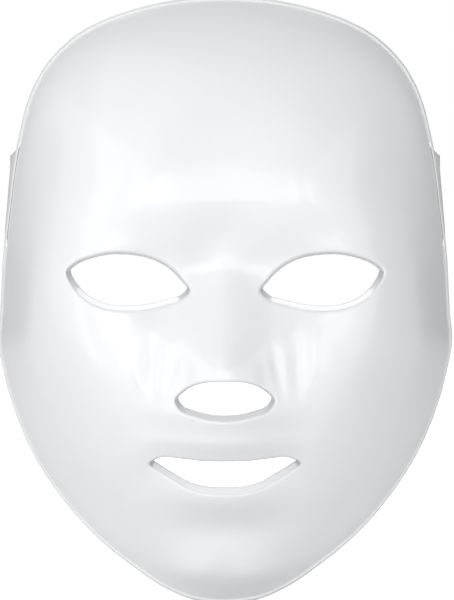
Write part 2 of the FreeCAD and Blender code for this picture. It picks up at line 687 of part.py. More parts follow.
# ---------------------------------------------------------------- screws and jack
def make_screws():
    screws = []
    for x, z in screw_places():
        seat = screw_frame(x, z)[0] - HEAD_SEAT
        head = post(HEAD_RADIUS, x, z, seat, seat + HEAD_HEIGHT)
        head = head.makeFillet(0.4, [edge for edge in head.Edges if edge.BoundBox.YMin > seat + 0.9])
        for angle in (0, 90):
            cross = Part.makeBox(2.0, 0.7, 0.4, Vector(-1.0, 0.6, -0.2))
            cross.rotate(Vector(0, 0, 0), Vector(0, 1, 0), angle)
            head = head.cut(cross.translated(Vector(x, seat, z)))
        shank = post(SHANK_RADIUS, x, z, seat - SHANK_LENGTH + 0.1, seat + 0.1)
        screws.append(head.fuse(shank).removeSplitter())
    return Part.makeCompound(screws)


def make_jack_body():
    width, length, height = JACK_BODY
    rear_y = JACK_REAR_Y - JACK_WALL - JACK_FIT
    corner = Vector(JACK_X - width / 2, rear_y - length, JACK_Z - height / 2)
    block = Part.makeBox(width, length, height, corner)
    block = block.makeFillet(0.4, [e for e in block.Edges if abs(e.tangentAt(e.FirstParameter).y) > 0.9])
    return block.cut(post(JACK_BORE_RADIUS, JACK_X, JACK_Z, rear_y - length + JACK_END_WALL, JACK_REAR_Y))


def make_jack_sleeve():
    front_y = JACK_REAR_Y - JACK_WALL - JACK_FIT
    ring = post(JACK_SLEEVE_RADIUS, JACK_X, JACK_Z, front_y, JACK_REAR_Y)
    return ring.cut(post(JACK_BORE_RADIUS, JACK_X, JACK_Z, front_y - 1, JACK_REAR_Y + 1))


def pin_heights():
    return [JACK_Z + (i - 1.5) * PIN_PITCH for i in range(4)]


def jack_front_y():
    return JACK_REAR_Y - JACK_WALL - JACK_FIT - JACK_BODY[1]


def make_jack_pins():
    y = jack_front_y()
    return Part.makeCompound([Part.makeBox(1.0, PIN_LENGTH, 0.4, Vector(JACK_X - 0.5, y - PIN_LENGTH, z - 0.2))
                              for z in pin_heights()])


def jack_leads(radius):
    """Four short wires from the jack's pins to the rear face of the board beside it."""
    leads = []
    for z in pin_heights():
        start = Vector(JACK_X, jack_front_y() - PIN_LENGTH - LEAD_RADIUS, z)
        end = offset_point(lining, JACK_X - LEAD_REACH, z, BOARD_BACK + LEAD_RADIUS + LEAD_CLEARANCE / 2)
        leads.append(Part.makeCylinder(radius, (end - start).Length, start, end - start))
    return leads


# ---------------------------------------------------------------- head strap
def hinge_drum(radius):
    return Part.makeCylinder(radius, FAR, Vector(-FAR / 2, 0, 0), Vector(1, 0, 0))


def arc_layer(radius, thickness, start, end):
    """A strip round the back of the head, between two angles from the +X side."""
    centre = Vector(0, STRAP_STRAIGHT, -STRAP_HALF_WIDTH)
    height = 2 * STRAP_HALF_WIDTH
    outer = Part.makeCylinder(radius + thickness / 2, height, centre, Vector(0, 0, 1), end - start)
    inner = Part.makeCylinder(radius - thickness / 2, height, centre, Vector(0, 0, 1), 360)
    strip = outer.cut(inner)
    strip.rotate(centre, Vector(0, 0, 1), start)
    return strip


def make_strap_loop():
    """The turn of strap through the right slot, as far back as the swing's radius."""
    half = STRAP_THICKNESS / 2
    middle_x = (STRAP_INNER_X + STRAP_OUTER_X) / 2
    turn = (STRAP_OUTER_X - STRAP_INNER_X) / 2
    length = STRAP_HINGE_RADIUS + 2
    low = Vector(0, 0, -STRAP_HALF_WIDTH)
    height = 2 * STRAP_HALF_WIDTH
    bend = Part.makeCylinder(turn + half, height, Vector(middle_x, STRAP_TURN_Y, low.z))
    bend = bend.cut(Part.makeCylinder(turn - half, height, Vector(middle_x, STRAP_TURN_Y, low.z)))
    bend = bend.cut(Part.makeBox(20, 20, height, Vector(middle_x - 10, STRAP_TURN_Y, low.z)))
    layers = [Part.makeBox(STRAP_THICKNESS, length - STRAP_TURN_Y, height, Vector(x - half, STRAP_TURN_Y, low.z))
              for x in (STRAP_INNER_X, STRAP_OUTER_X)]
    return bend.fuse(layers).removeSplitter().common(hinge_drum(STRAP_HINGE_RADIUS - STRAP_HINGE_GAP / 2))


def make_strap_band():
    """The elastic loop behind the head, from one wing to the other."""
    half = STRAP_THICKNESS / 2
    sides = [Part.makeBox(STRAP_THICKNESS, STRAP_STRAIGHT, 2 * STRAP_HALF_WIDTH,
                          Vector(x - half, 0, -STRAP_HALF_WIDTH)) for x in (STRAP_INNER_X, -STRAP_INNER_X)]
    band = arc_layer(STRAP_INNER_X, STRAP_THICKNESS, 0, 180).fuse(sides).removeSplitter()
    return band.cut(hinge_drum(STRAP_HINGE_RADIUS + STRAP_HINGE_GAP / 2))


def tab_radius():
    return STRAP_INNER_X + STRAP_THICKNESS + PATCH_THICKNESS + 2 * LAYER_GAP


def make_strap_tab():
    """The end of the right strap, folded back outside the band."""
    half = STRAP_THICKNESS / 2
    start = math.radians(TAB_START)
    radius = tab_radius()
    low = -STRAP_HALF_WIDTH

    def at(offset):
        return ((radius + offset) * math.cos(start), STRAP_STRAIGHT + (radius + offset) * math.sin(start))

    plan = [(STRAP_OUTER_X - half, STRAP_TURN_Y), (STRAP_OUTER_X + half, STRAP_TURN_Y),
            (STRAP_OUTER_X + half, STRAP_HINGE_RADIUS + 1), at(half), at(-half),
            (STRAP_OUTER_X - half, STRAP_HINGE_RADIUS + 1)]
    points = [Vector(x, y, low) for x, y in plan]
    lead = Part.Face(Part.makePolygon(points + points[:1])).extrude(Vector(0, 0, 2 * STRAP_HALF_WIDTH))
    tab = arc_layer(radius, STRAP_THICKNESS, TAB_START, TAB_END).fuse(lead).removeSplitter()
    return tab.cut(hinge_drum(STRAP_HINGE_RADIUS + STRAP_HINGE_GAP / 2))


def make_hook_patch():
    radius = STRAP_INNER_X + STRAP_THICKNESS / 2 + LAYER_GAP + PATCH_THICKNESS / 2
    return arc_layer(radius, PATCH_THICKNESS, PATCH_START, PATCH_END)


# ---------------------------------------------------------------- the whole mask
def build_nodes():
    leds = led_places()
    seam_skin = skin(form, SHELL_WALL + SEAM)
    lining_back = skin(lining, LINING_BACK)
    nodes = {"front_shell": make_front_shell(skin(form, 0), skin(form, SHELL_WALL), lining_back),
             "inner_shell": make_inner_shell(leds, skin(lining, LINING_FRONT), lining_back, seam_skin)}
    board_slab = slab(skin(lining, BOARD_FRONT), skin(lining, BOARD_BACK))
    for name, outline in board_outlines().items():
        nodes["led_board_" + name] = make_board(outline, board_slab, name)
        nodes["leds_" + name] = make_leds(leds[name])
    nodes["board_links"] = make_links()
    nodes["board_resistors"] = make_resistors(leds)
    nodes["nose_rest"] = make_nose_rest()
    nodes["shell_screws"] = make_screws()
    nodes["jack_body"] = make_jack_body()
    nodes["jack_sleeve"] = make_jack_sleeve()
    nodes["jack_pins"] = make_jack_pins()
    nodes["jack_leads"] = Part.makeCompound(jack_leads(LEAD_RADIUS))
    nodes["strap_band"] = make_strap_band()
    for name, make in (("strap_loop", make_strap_loop), ("strap_tab", make_strap_tab),
                       ("hook_patch", make_hook_patch)):
        shape = make()
        nodes[name + "_left"] = shape
        nodes[name + "_right"] = mirrored(shape)
    return nodes


def main():
    os.makedirs("parts", exist_ok=True)
    for name, shape in build_nodes().items():
        shape.exportStep(os.path.join("parts", name + ".step"))
        print(f"{name}: {len(shape.Solids)} solids, {shape.Volume:.0f} mm3, valid {shape.isValid()}")


main()
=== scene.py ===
import math

import bpy
import numpy as np
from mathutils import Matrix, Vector, geometry


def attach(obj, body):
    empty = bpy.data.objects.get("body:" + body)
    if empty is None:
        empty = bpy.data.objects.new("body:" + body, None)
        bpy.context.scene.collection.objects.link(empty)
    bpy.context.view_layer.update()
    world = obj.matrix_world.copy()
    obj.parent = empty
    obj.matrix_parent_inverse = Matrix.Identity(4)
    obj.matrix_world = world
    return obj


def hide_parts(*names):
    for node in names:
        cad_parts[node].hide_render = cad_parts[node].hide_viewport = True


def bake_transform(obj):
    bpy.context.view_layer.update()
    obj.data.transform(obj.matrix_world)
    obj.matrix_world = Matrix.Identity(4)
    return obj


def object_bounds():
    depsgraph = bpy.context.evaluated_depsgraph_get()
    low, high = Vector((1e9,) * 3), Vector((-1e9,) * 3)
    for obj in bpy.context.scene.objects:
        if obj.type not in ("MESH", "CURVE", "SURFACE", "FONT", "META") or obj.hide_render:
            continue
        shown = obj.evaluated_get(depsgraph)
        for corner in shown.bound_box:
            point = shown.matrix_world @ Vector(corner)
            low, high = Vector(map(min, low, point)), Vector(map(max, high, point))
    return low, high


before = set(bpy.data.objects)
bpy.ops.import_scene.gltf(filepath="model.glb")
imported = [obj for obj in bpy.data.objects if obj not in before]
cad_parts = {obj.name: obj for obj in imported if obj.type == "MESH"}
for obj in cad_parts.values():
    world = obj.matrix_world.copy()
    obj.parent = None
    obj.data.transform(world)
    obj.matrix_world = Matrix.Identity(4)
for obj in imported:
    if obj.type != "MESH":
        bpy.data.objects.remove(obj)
CAD_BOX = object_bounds()
SCENE = bpy.context.scene
MM = 0.001
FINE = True

# ---------------------------------------------------------------- the form of the face, in millimetres
OUTLINE_CENTRE_Z = -41.5
OUTLINE = [(105, 118.0), (90, 117.5), (75, 118.0), (62, 118.2), (54, 115.6), (47, 110.8), (40, 104.4),
           (32, 98.0), (24, 93.2), (15, 90.3), (5, 89.3), (-4, 90.3), (-12, 93.2), (-20, 93.9), (-30, 95.4),
           (-40, 97.6), (-50, 100.4), (-60, 104.2), (-70, 108.8), (-79, 114.4), (-84, 116.7), (-90, 117.4),
           (-96, 116.7)]
RIM = [(76, -29), (58, -26), (38, -23), (18, -19.5), (-5, -16.5), (-25, -13), (-45, -8), (-58, -6), (-68, -9),
       (-84, -17), (-100, -25), (-114, -31), (-130, -37), (-144, -40.5), (-159, -42)]
FRONT_Y, CENTRE_DEPTH = -77.0, 55.0
ARC_FRACTION, ARC_LIMIT = 0.955, 1.035
GAUGE_HALF_WIDTH, GAUGE_HALF_HEIGHT = 90.0, 118.0
RELIEF_FADE = (0.82, 0.18)
RELIEF = [(8.8, 20, -29.3, 21.2, 17.6, 2.2, 2.2, 0),      # eye sockets
          (1.9, 9.8, -26.4, 8.1, 7.9, 2, 2, 0),           # inner corners of the eyes
          (-2.0, 37.4, 0.3, 33, 13.6, 2, 2, -6),          # brows
          (1.3, 0, -8.5, 13, 16, 2, 2, 0),                # between the brows
          (1.6, 42.8, -49.7, 9.9, 11.4, 2, 2, -24),       # under the eyes
          (-5.9, 44.7, -77.2, 20.2, 43.3, 2, 2, 0),       # cheeks
          (-8.6, 78.8, -44.3, 32.8, 28.5, 2, 2, 0),       # cheekbones
          (0.8, 66.5, -96.5, 17.2, 18.8, 2, 2, 0),        # hollows below the cheekbones
          (1.6, 27.3, -61.6, 3.6, 10.3, 2, 2, 0),         # beside the nose
          (-7.3, 0, -91.2, 40.7, 31.5, 2.4, 2.4, 0),      # round of the mouth
          (2.0, 0, -102.5, 30, 6, 4, 2, 0),               # line of the mouth
          (3.4, 0, -127, 21.7, 8.3, 3, 2, 0),             # fold under the lower lip
          (-8.9, 16.6, -151, 15, 9, 2.2, 2.2, 0),         # chin
          (3.2, 50.7, -130.7, 12.6, 24, 2, 2, 0),         # jaw
          (-1.6, 0, 37.4, 28, 21.4, 2, 2, 0),             # middle of the forehead
          (-2.5, 30.9, 21.7, 19.8, 22, 2, 2, 0),          # sides of the forehead
          (2.5, 76, 31.6, 20.8, 22.3, 2, 2, 0)]           # temples
FINE_RELIEF = [(-0.6, 40.4, -18, 15.6, 4.2, 2, 2, -8),    # ridges of the brows
               (0.8, 19.7, -63.3, 2.1, 10.9, 2, 2, 11),   # creases beside the tip of the nose
               (1.0, 17, -66, 5.3, 10.2, 2.4, 2.4, 0),
               (-2.2, 0, -62.4, 6.7, 8.1, 2, 2, 0),       # tip of the nose
               (-0.4, 37.3, -85.7, 5.3, 16.4, 2, 2, -30), # folds from the nose to the mouth
               (-2.5, 0, -91.4, 29.8, 4, 4, 2, 0),        # upper lip
               (0.5, 18.9, -92.2, 8.6, 3.9, 2, 2, 0),
               (-1.2, 0, -113.2, 24.6, 6.2, 3, 2, 0),     # lower lip
               (-1.1, 35.1, -99, 6.4, 7.9, 2, 2, 0),      # corners of the mouth
               (-0.6, 30.2, -116.1, 5.2, 6.1, 2, 2, 0),
               (1.0, 0, -146.2, 4.9, 7.8, 2, 2, 0)]       # middle of the chin
# (z, how far the nose and the middle of the face below it stand out), and its half width
MIDLINE_HEIGHT = [(0, -0.2), (-14, -2.9), (-26, -0.8), (-38, 2.5), (-50, 5.6), (-60, 8.6), (-68, 10.2),
                  (-80, 11.1), (-92, 5.6)]
MIDLINE_HALF_WIDTH = [(0, 14.7), (-20, 11.9), (-40, 14.0), (-60, 17.4), (-80, 22.3)]
MIDLINE_POWER = 2.16
LINING_MIDLINE = (0.85, 3.0)
EYE = [(60.5, -27.5), (57, -24.4), (51, -21.9), (43.5, -20.3), (35.5, -20.5), (28, -22.1), (21.6, -25.4),
       (16.4, -30.3), (13.4, -34.6), (16.6, -37.9), (22, -39.6), (29, -41.2), (37, -41.9), (45.4, -41.1),
       (52, -38.6), (57, -34.6)]
NOSE_HALF = [(0, -66.9), (6, -67.1), (11, -68.3), (15.6, -70.9), (18.7, -74.6), (16.8, -78), (11, -80.2),
             (5, -81.4), (0, -81.7)]
MOUTH_HALF = [(0, -98.3), (8, -98.3), (17, -97.7), (24.5, -97.7), (28.7, -100.3), (25, -103.2),
              (19.5, -106.4), (14, -109.3), (7.5, -110.9), (0, -111.2)]


def smooth_step(t):
    t = np.clip(t, 0.0, 1.0)
    return t * t * (3 - 2 * t)


def between(a, b, slope_a, slope_b, s):
    """The cubic from a to b, where s runs from 0 to 1 and the slopes are per whole run."""
    return ((2 * s ** 3 - 3 * s ** 2 + 1) * a + (s ** 3 - 2 * s ** 2 + s) * slope_a
            + (-2 * s ** 3 + 3 * s ** 2) * b + (s ** 3 - s ** 2) * slope_b)


def through(points, t):
    """A smooth curve through (t, value) points listed in falling t, held at its end values."""
    at = np.array([p[0] for p in points][::-1], float)
    value = np.array([p[1] for p in points][::-1], float)
    order = np.arange(len(at))
    before, after = np.maximum(order - 1, 0), np.minimum(order + 1, len(at) - 1)
    slope = (value[after] - value[before]) / (at[after] - at[before])
    t = np.clip(t, at[0], at[-1])
    k = np.clip(np.searchsorted(at, t, side="right") - 1, 0, len(at) - 2)
    span = at[k + 1] - at[k]
    return between(value[k], value[k + 1], span * slope[k], span * slope[k + 1], (t - at[k]) / span)


def rim_y(z):
    return through(RIM, z)


def from_centre(x, z):
    across, rise = np.abs(x), z - OUTLINE_CENTRE_Z
    angle = np.degrees(np.arctan2(rise, np.maximum(across, 1e-9)))
    return np.hypot(across, rise), angle, through(OUTLINE, angle)


def dome(x, z):
    distance, angle, rim_radius = from_centre(x, z)
    by_ellipse = np.hypot(x / GAUGE_HALF_WIDTH, (z - OUTLINE_CENTRE_Z) / GAUGE_HALF_HEIGHT)
    near_rim = smooth_step((by_ellipse - 0.25) / 0.7)
    share = np.sqrt((1 - near_rim) * by_ellipse ** 2 + near_rim * (distance / rim_radius) ** 2)
    rim_depth = rim_y(OUTLINE_CENTRE_Z + rim_radius * np.sin(np.radians(angle))) - FRONT_Y
    depth = CENTRE_DEPTH + (rim_depth - CENTRE_DEPTH) * near_rim
    full = 1 - math.sqrt(1 - ARC_FRACTION ** 2)
    turn = ARC_FRACTION * np.minimum(share, ARC_LIMIT)
    arc = (1 - np.sqrt(1 - turn ** 2)) / full
    slope = ARC_FRACTION * turn / np.sqrt(1 - turn ** 2) / full
    return FRONT_Y + depth * (arc + slope * np.maximum(0.0, share - ARC_LIMIT))


def relief(features, x, z):
    total = np.zeros_like(x)
    for depth, at_x, at_z, half_wide, half_high, power_x, power_z, tilt in features:
        turn = math.radians(tilt)
        rise = z - at_z
        for side in (1, -1) if at_x else (1,):
            out = side * x - at_x
            across = np.abs((out * math.cos(turn) + rise * math.sin(turn)) / half_wide) ** power_x
            up = np.abs((rise * math.cos(turn) - out * math.sin(turn)) / half_high) ** power_z
            total = total + depth * np.exp(-across - up)
    return total


def midline(x, z, share, extra_width):
    half_wide = through(MIDLINE_HALF_WIDTH, z) + extra_width
    return share * through(MIDLINE_HEIGHT, z) * np.exp(-np.abs(x / half_wide) ** MIDLINE_POWER)


def fade(x, z):
    distance, _, rim_radius = from_centre(x, z)
    return 1 - smooth_step((distance / rim_radius - RELIEF_FADE[0]) / RELIEF_FADE[1])


def form(x, z):
    """Depth y of the glossy outer face over (x, z)."""
    return dome(x, z) + fade(x, z) * (relief(RELIEF + FINE_RELIEF, x, z) - midline(x, z, 1.0, 0.0))


def lining(x, z):
    """Depth of the smoother form that the inner shell follows."""
    return dome(x, z) + fade(x, z) * (relief(RELIEF, x, z) - midline(x, z, *LINING_MIDLINE))


def normal_at(depth, x, z, step=0.25):
    """Unit normals that point to the rear."""
    slope_x = (depth(x + step, z) - depth(x - step, z)) / (2 * step)
    slope_z = (depth(x, z + step) - depth(x, z - step)) / (2 * step)
    n = np.stack([-slope_x, np.ones_like(slope_x), -slope_z], -1)
    return n / np.linalg.norm(n, axis=-1, keepdims=True)


def offset_point(depth, x, z, distance):
    return np.stack([x, depth(x, z), z], -1) + normal_at(depth, x, z) * np.asarray(distance)[..., None]


# ---------------------------------------------------------------- mesh helpers
def whole(half):
    return half + [(-x, z) for x, z in half[-2:0:-1]]


def anticlockwise(loop):
    area = np.sum(loop[:, 0] * np.roll(loop[:, 1], -1) - np.roll(loop[:, 0], -1) * loop[:, 1])
    return loop if area > 0 else loop[::-1]


def evenly(loop, spacing):
    """A closed polyline sampled at even steps."""
    steps = np.linalg.norm(np.roll(loop, -1, 0) - loop, axis=1)
    along = np.concatenate([[0], np.cumsum(steps)])
    want = np.linspace(0, along[-1], int(round(along[-1] / spacing)), endpoint=False)
    closed = np.concatenate([loop, loop[:1]])
    return np.stack([np.interp(want, along, closed[:, k]) for k in (0, 1)], 1)


def smooth_loop(points, spacing):
    """A closed smooth curve through points, evenly sampled, anticlockwise."""
    p = np.array(points, float)
    nxt, prv = np.roll(p, -1, 0), np.roll(p, 1, 0)
    chord = np.linalg.norm(nxt - p, axis=1)
    back = np.roll(chord, 1)
    slope = ((p - prv) / back[:, None] * chord[:, None] + (nxt - p) / chord[:, None] * back[:, None]) \
        / (chord + back)[:, None]
    dense = []
    for i in range(len(p)):
        j = (i + 1) % len(p)
        s = np.linspace(0, 1, 40, endpoint=False)[:, None]
        dense.append(between(p[i], p[j], chord[i] * slope[i], chord[i] * slope[j], s))
    return evenly(anticlockwise(np.concatenate(dense)), spacing)


def loop_normals(loop):
    """Outward unit normals of an anticlockwise loop."""
    along = np.roll(loop, -1, 0) - np.roll(loop, 1, 0)
    along /= np.linalg.norm(along, axis=1, keepdims=True)
    return np.stack([along[:, 1], -along[:, 0]], 1)


def inside(loop, points):
    """Which points lie inside a closed polygon."""
    hit = np.zeros(len(points), bool)
    x, z = points[:, 0], points[:, 1]
    for a, b in zip(loop, np.roll(loop, -1, 0)):
        crosses = (a[1] > z) != (b[1] > z)
        if crosses.any():
            at = (b[0] - a[0]) * (z - a[1]) / ((b[1] - a[1]) or 1e-12) + a[0]
            hit ^= crosses & (x < at)
    return hit


def triangulate(rings, holes, loose):
    """Triangles over the plane between the first ring and the holes. Rings and holes are closed loops; loose
    points fill the middle. Returns all points and the triangles, anticlockwise."""
    points = []
    edges = []
    for loop in list(rings) + list(holes):
        start = len(points)
        points += [tuple(p) for p in loop]
        edges += [(start + i, start + (i + 1) % len(loop)) for i in range(len(loop))]
    count = len(points)
    points += [tuple(p) for p in loose]
    out_points, _, faces, _, _, _ = geometry.delaunay_2d_cdt([Vector(p) for p in points], edges, [], 0, 1e-6)
    flat = np.array([tuple(p) for p in out_points])
    if len(flat) != len(points) or np.abs(flat - np.array(points)).max() > 1e-5:
        raise ValueError("the triangulation moved or merged points")
    faces = np.array([list(f) for f in faces])
    middle = flat[faces].mean(1)
    keep = inside(np.array(rings[0]), middle)
    for hole in holes:
        keep &= ~inside(np.array(hole), middle)
    a, b, c = (flat[faces[:, k]] for k in range(3))
    area = (b[:, 0] - a[:, 0]) * (c[:, 1] - a[:, 1]) - (b[:, 1] - a[:, 1]) * (c[:, 0] - a[:, 0])
    faces[area < 0] = faces[area < 0][:, ::-1]
    return flat, faces[keep & (np.abs(area) > 1e-4)], count


def hex_grid(x0, x1, z0, z1, step):
    grid = []
    for i, z in enumerate(np.arange(z0, z1, step * math.sqrt(0.75))):
        x = np.arange(x0 + (i % 2) * step / 2, x1, step)
        grid.append(np.column_stack([x, np.full(len(x), z)]))
    return np.concatenate(grid)


def new_object(name, points_mm, faces, smooth=True, normals=None):
    mesh = bpy.data.meshes.new(name)
    mesh.from_pydata([tuple(p) for p in np.asarray(points_mm) * MM], [], [tuple(f) for f in faces])
    mesh.update()
    mesh.polygons.foreach_set("use_smooth", [smooth] * len(mesh.polygons))
    if normals is not None:
        mesh.normals_split_custom_set_from_vertices([tuple(n) for n in normals])
    thing = bpy.data.objects.new(name, mesh)
    SCENE.collection.objects.link(thing)
    return thing


def strip(a, b, closed=True):
    """Quads between two index rows of equal length."""
    n = len(a)
    last = n if closed else n - 1
    return [(a[i], a[(i + 1) % n], b[(i + 1) % n], b[i]) for i in range(last)]


def vertex_normals(points, faces):
    total = np.zeros_like(points)
    for size in {len(f) for f in faces}:
        group = np.array([f for f in faces if len(f) == size])
        corners = points[group]
        area = np.cross(corners[:, 1] - corners[:, 0], corners[:, 2] - corners[:, 0])
        if size == 4:
            area = area + np.cross(corners[:, 2] - corners[:, 0], corners[:, 3] - corners[:, 0])
        for k in range(size):
            np.add.at(total, group[:, k], area)
    return total / np.maximum(np.linalg.norm(total, axis=1, keepdims=True), 1e-12)


class Builder:
    """Collects points and faces of one mesh, in millimetres."""

    def __init__(self):
        self.points = []
        self.faces = []
        self.count = 0

    def add(self, points):
        points = np.asarray(points, float)
        rows = np.arange(self.count, self.count + len(points))
        self.points.append(points)
        self.count += len(points)
        return rows

    def band(self, rows):
        """Quads between following rows of a closed loop."""
        for a, b in zip(rows, rows[1:]):
            self.faces += strip(a, b)

    def finish(self, name, exact=None):
        points = np.concatenate(self.points)
        faces = [tuple(int(i) for i in f) for f in self.faces]
        normals = vertex_normals(points, faces)
        if exact is not None:
            rows, values = exact
            normals[rows] = values
        return new_object(name, points, faces, normals=normals)


def orient(builder, first):
    """Turns the faces from the first one on, so that each closed part of them faces outwards."""
    points = np.concatenate(builder.points)
    faces = [list(f) for f in builder.faces[first:]]
    by_edge = {}
    for i, face in enumerate(faces):
        for a, b in zip(face, face[1:] + face[:1]):
            by_edge.setdefault((min(a, b), max(a, b)), []).append((i, a < b))
    done = [False] * len(faces)
    turned = [False] * len(faces)
    for start in range(len(faces)):
        if done[start]:
            continue
        done[start] = True
        part = [start]
        for i in part:
            for a, b in zip(faces[i], faces[i][1:] + faces[i][:1]):
                for j, forward in by_edge[(min(a, b), max(a, b))]:
                    if not done[j]:
                        done[j] = True
                        turned[j] = turned[i] ^ (forward == (a < b))
                        part.append(j)
        volume = 0.0
        for i in part:
            face = faces[i][::-1] if turned[i] else faces[i]
            origin = points[face[0]]
            for k in range(1, len(face) - 1):
                volume += float(np.dot(origin, np.cross(points[face[k]], points[face[k + 1]])))
        if volume < 0:
            for i in part:
                turned[i] = not turned[i]
    builder.faces[first:] = [tuple(f[::-1]) if t else tuple(f) for f, t in zip(faces, turned)]


# ---------------------------------------------------------------- front shell
SHELL_WALL = 2.2
LINING_BACK = 8.0
LIP_ROLL = 1.3              # radius of the rolled-in lip round each opening
RIM_ROUND = 0.6
WALL_DRAFT = 1.2            # how much each opening narrows towards the rear
COLLAR_WALL = 1.4
TIGHT = 0.15                # distance of the rows that hold an edge crisp
# (share of the depth, how far out, shift along y) of each row of an opening's wall, with the groove where it
# meets the inner shell, then of its rear edge and its outside
COLLAR = [(0.0, 0.0, 0.0), (0.3, 0.0, 0.0), (0.6, 0.0, 0.0), (0.83, 0.0, 0.0), (0.84, 0.03, 0.0),
          (0.85, 0.6, 0.0), (0.95, 0.6, 0.0), (0.96, 0.03, 0.0), (0.965, 0.0, 0.0), (1.0, 0.0, -0.2),
          (1.0, 0.1, -0.06), (1.0, 0.35, 0.0), (1.0, COLLAR_WALL - TIGHT, 0.0), (1.0, COLLAR_WALL, -TIGHT),
          (0.6, COLLAR_WALL, 0.0)]
GRID = 1.25 if FINE else 2.4
EDGE = 0.7 if FINE else 1.4
BACK_GRID = 2.2 if FINE else 3.5
RIM_INSET, SECOND_INSET = 0.22, 0.9     # the outer skin's first two rows, in from the rim
CENTRE = np.array([0.0, OUTLINE_CENTRE_Z])


def polar(angle):
    """Outline points at angles round the full circle, in degrees."""
    c, s = np.cos(np.radians(angle)), np.sin(np.radians(angle))
    r = through(OUTLINE, np.degrees(np.arctan2(s, np.maximum(np.abs(c), 1e-9))))
    return np.stack([r * c, OUTLINE_CENTRE_Z + r * s], 1)


def rim_loop():
    return evenly(polar(np.linspace(-180, 180, 1441)[:-1]), EDGE)


def back_y(x, z):
    return form(x, z) + SHELL_WALL / normal_at(form, x, z)[:, 1]


def inner_rim(rim):
    """Where the shell's back face meets the plane of the rim, straight in from each rim point."""
    low, high = np.full(len(rim), 0.85), np.ones(len(rim))
    for _ in range(30):
        middle = (low + high) / 2
        p = CENTRE + (rim - CENTRE) * middle[:, None]
        behind = back_y(p[:, 0], p[:, 1]) > rim_y(p[:, 1])
        high = np.where(behind, middle, high)
        low = np.where(behind, low, middle)
    return CENTRE + (rim - CENTRE) * low[:, None]


def lift(flat, y):
    return np.stack([flat[:, 0], y, flat[:, 1]], 1)


def towards(a, b, distance):
    """Points at a distance from a in the direction of b."""
    run = b - a
    return a + run * (distance / np.linalg.norm(run, axis=1, keepdims=True))


def rounded(before, corner, after, steps=4):
    """Rows that round a corner, from before to after, both left out."""
    rows = []
    for t in np.linspace(0, 1, steps + 1)[1:-1]:
        rows.append((1 - t) ** 2 * before + 2 * t * (1 - t) * corner + t ** 2 * after)
    return rows


def add_openings(shell, edges, loops_front, loops_back):
    """The drafted collar from each opening's lip to its rear edge and back to the shell's rear face."""
    for edge, front_row, back_row in zip(edges, loops_front, loops_back):
        out = loop_normals(edge)
        start = form(*edge.T) + LIP_ROLL
        end = lining(*edge.T) + LINING_BACK / normal_at(lining, *edge.T)[:, 1]
        rows = [front_row]
        for share, outward, shift in COLLAR:
            at = edge + out * (outward - WALL_DRAFT * share)
            rows.append(shell.add(lift(at, start + (end - start) * share + shift)))
        rows.append(back_row)
        shell.band(rows)


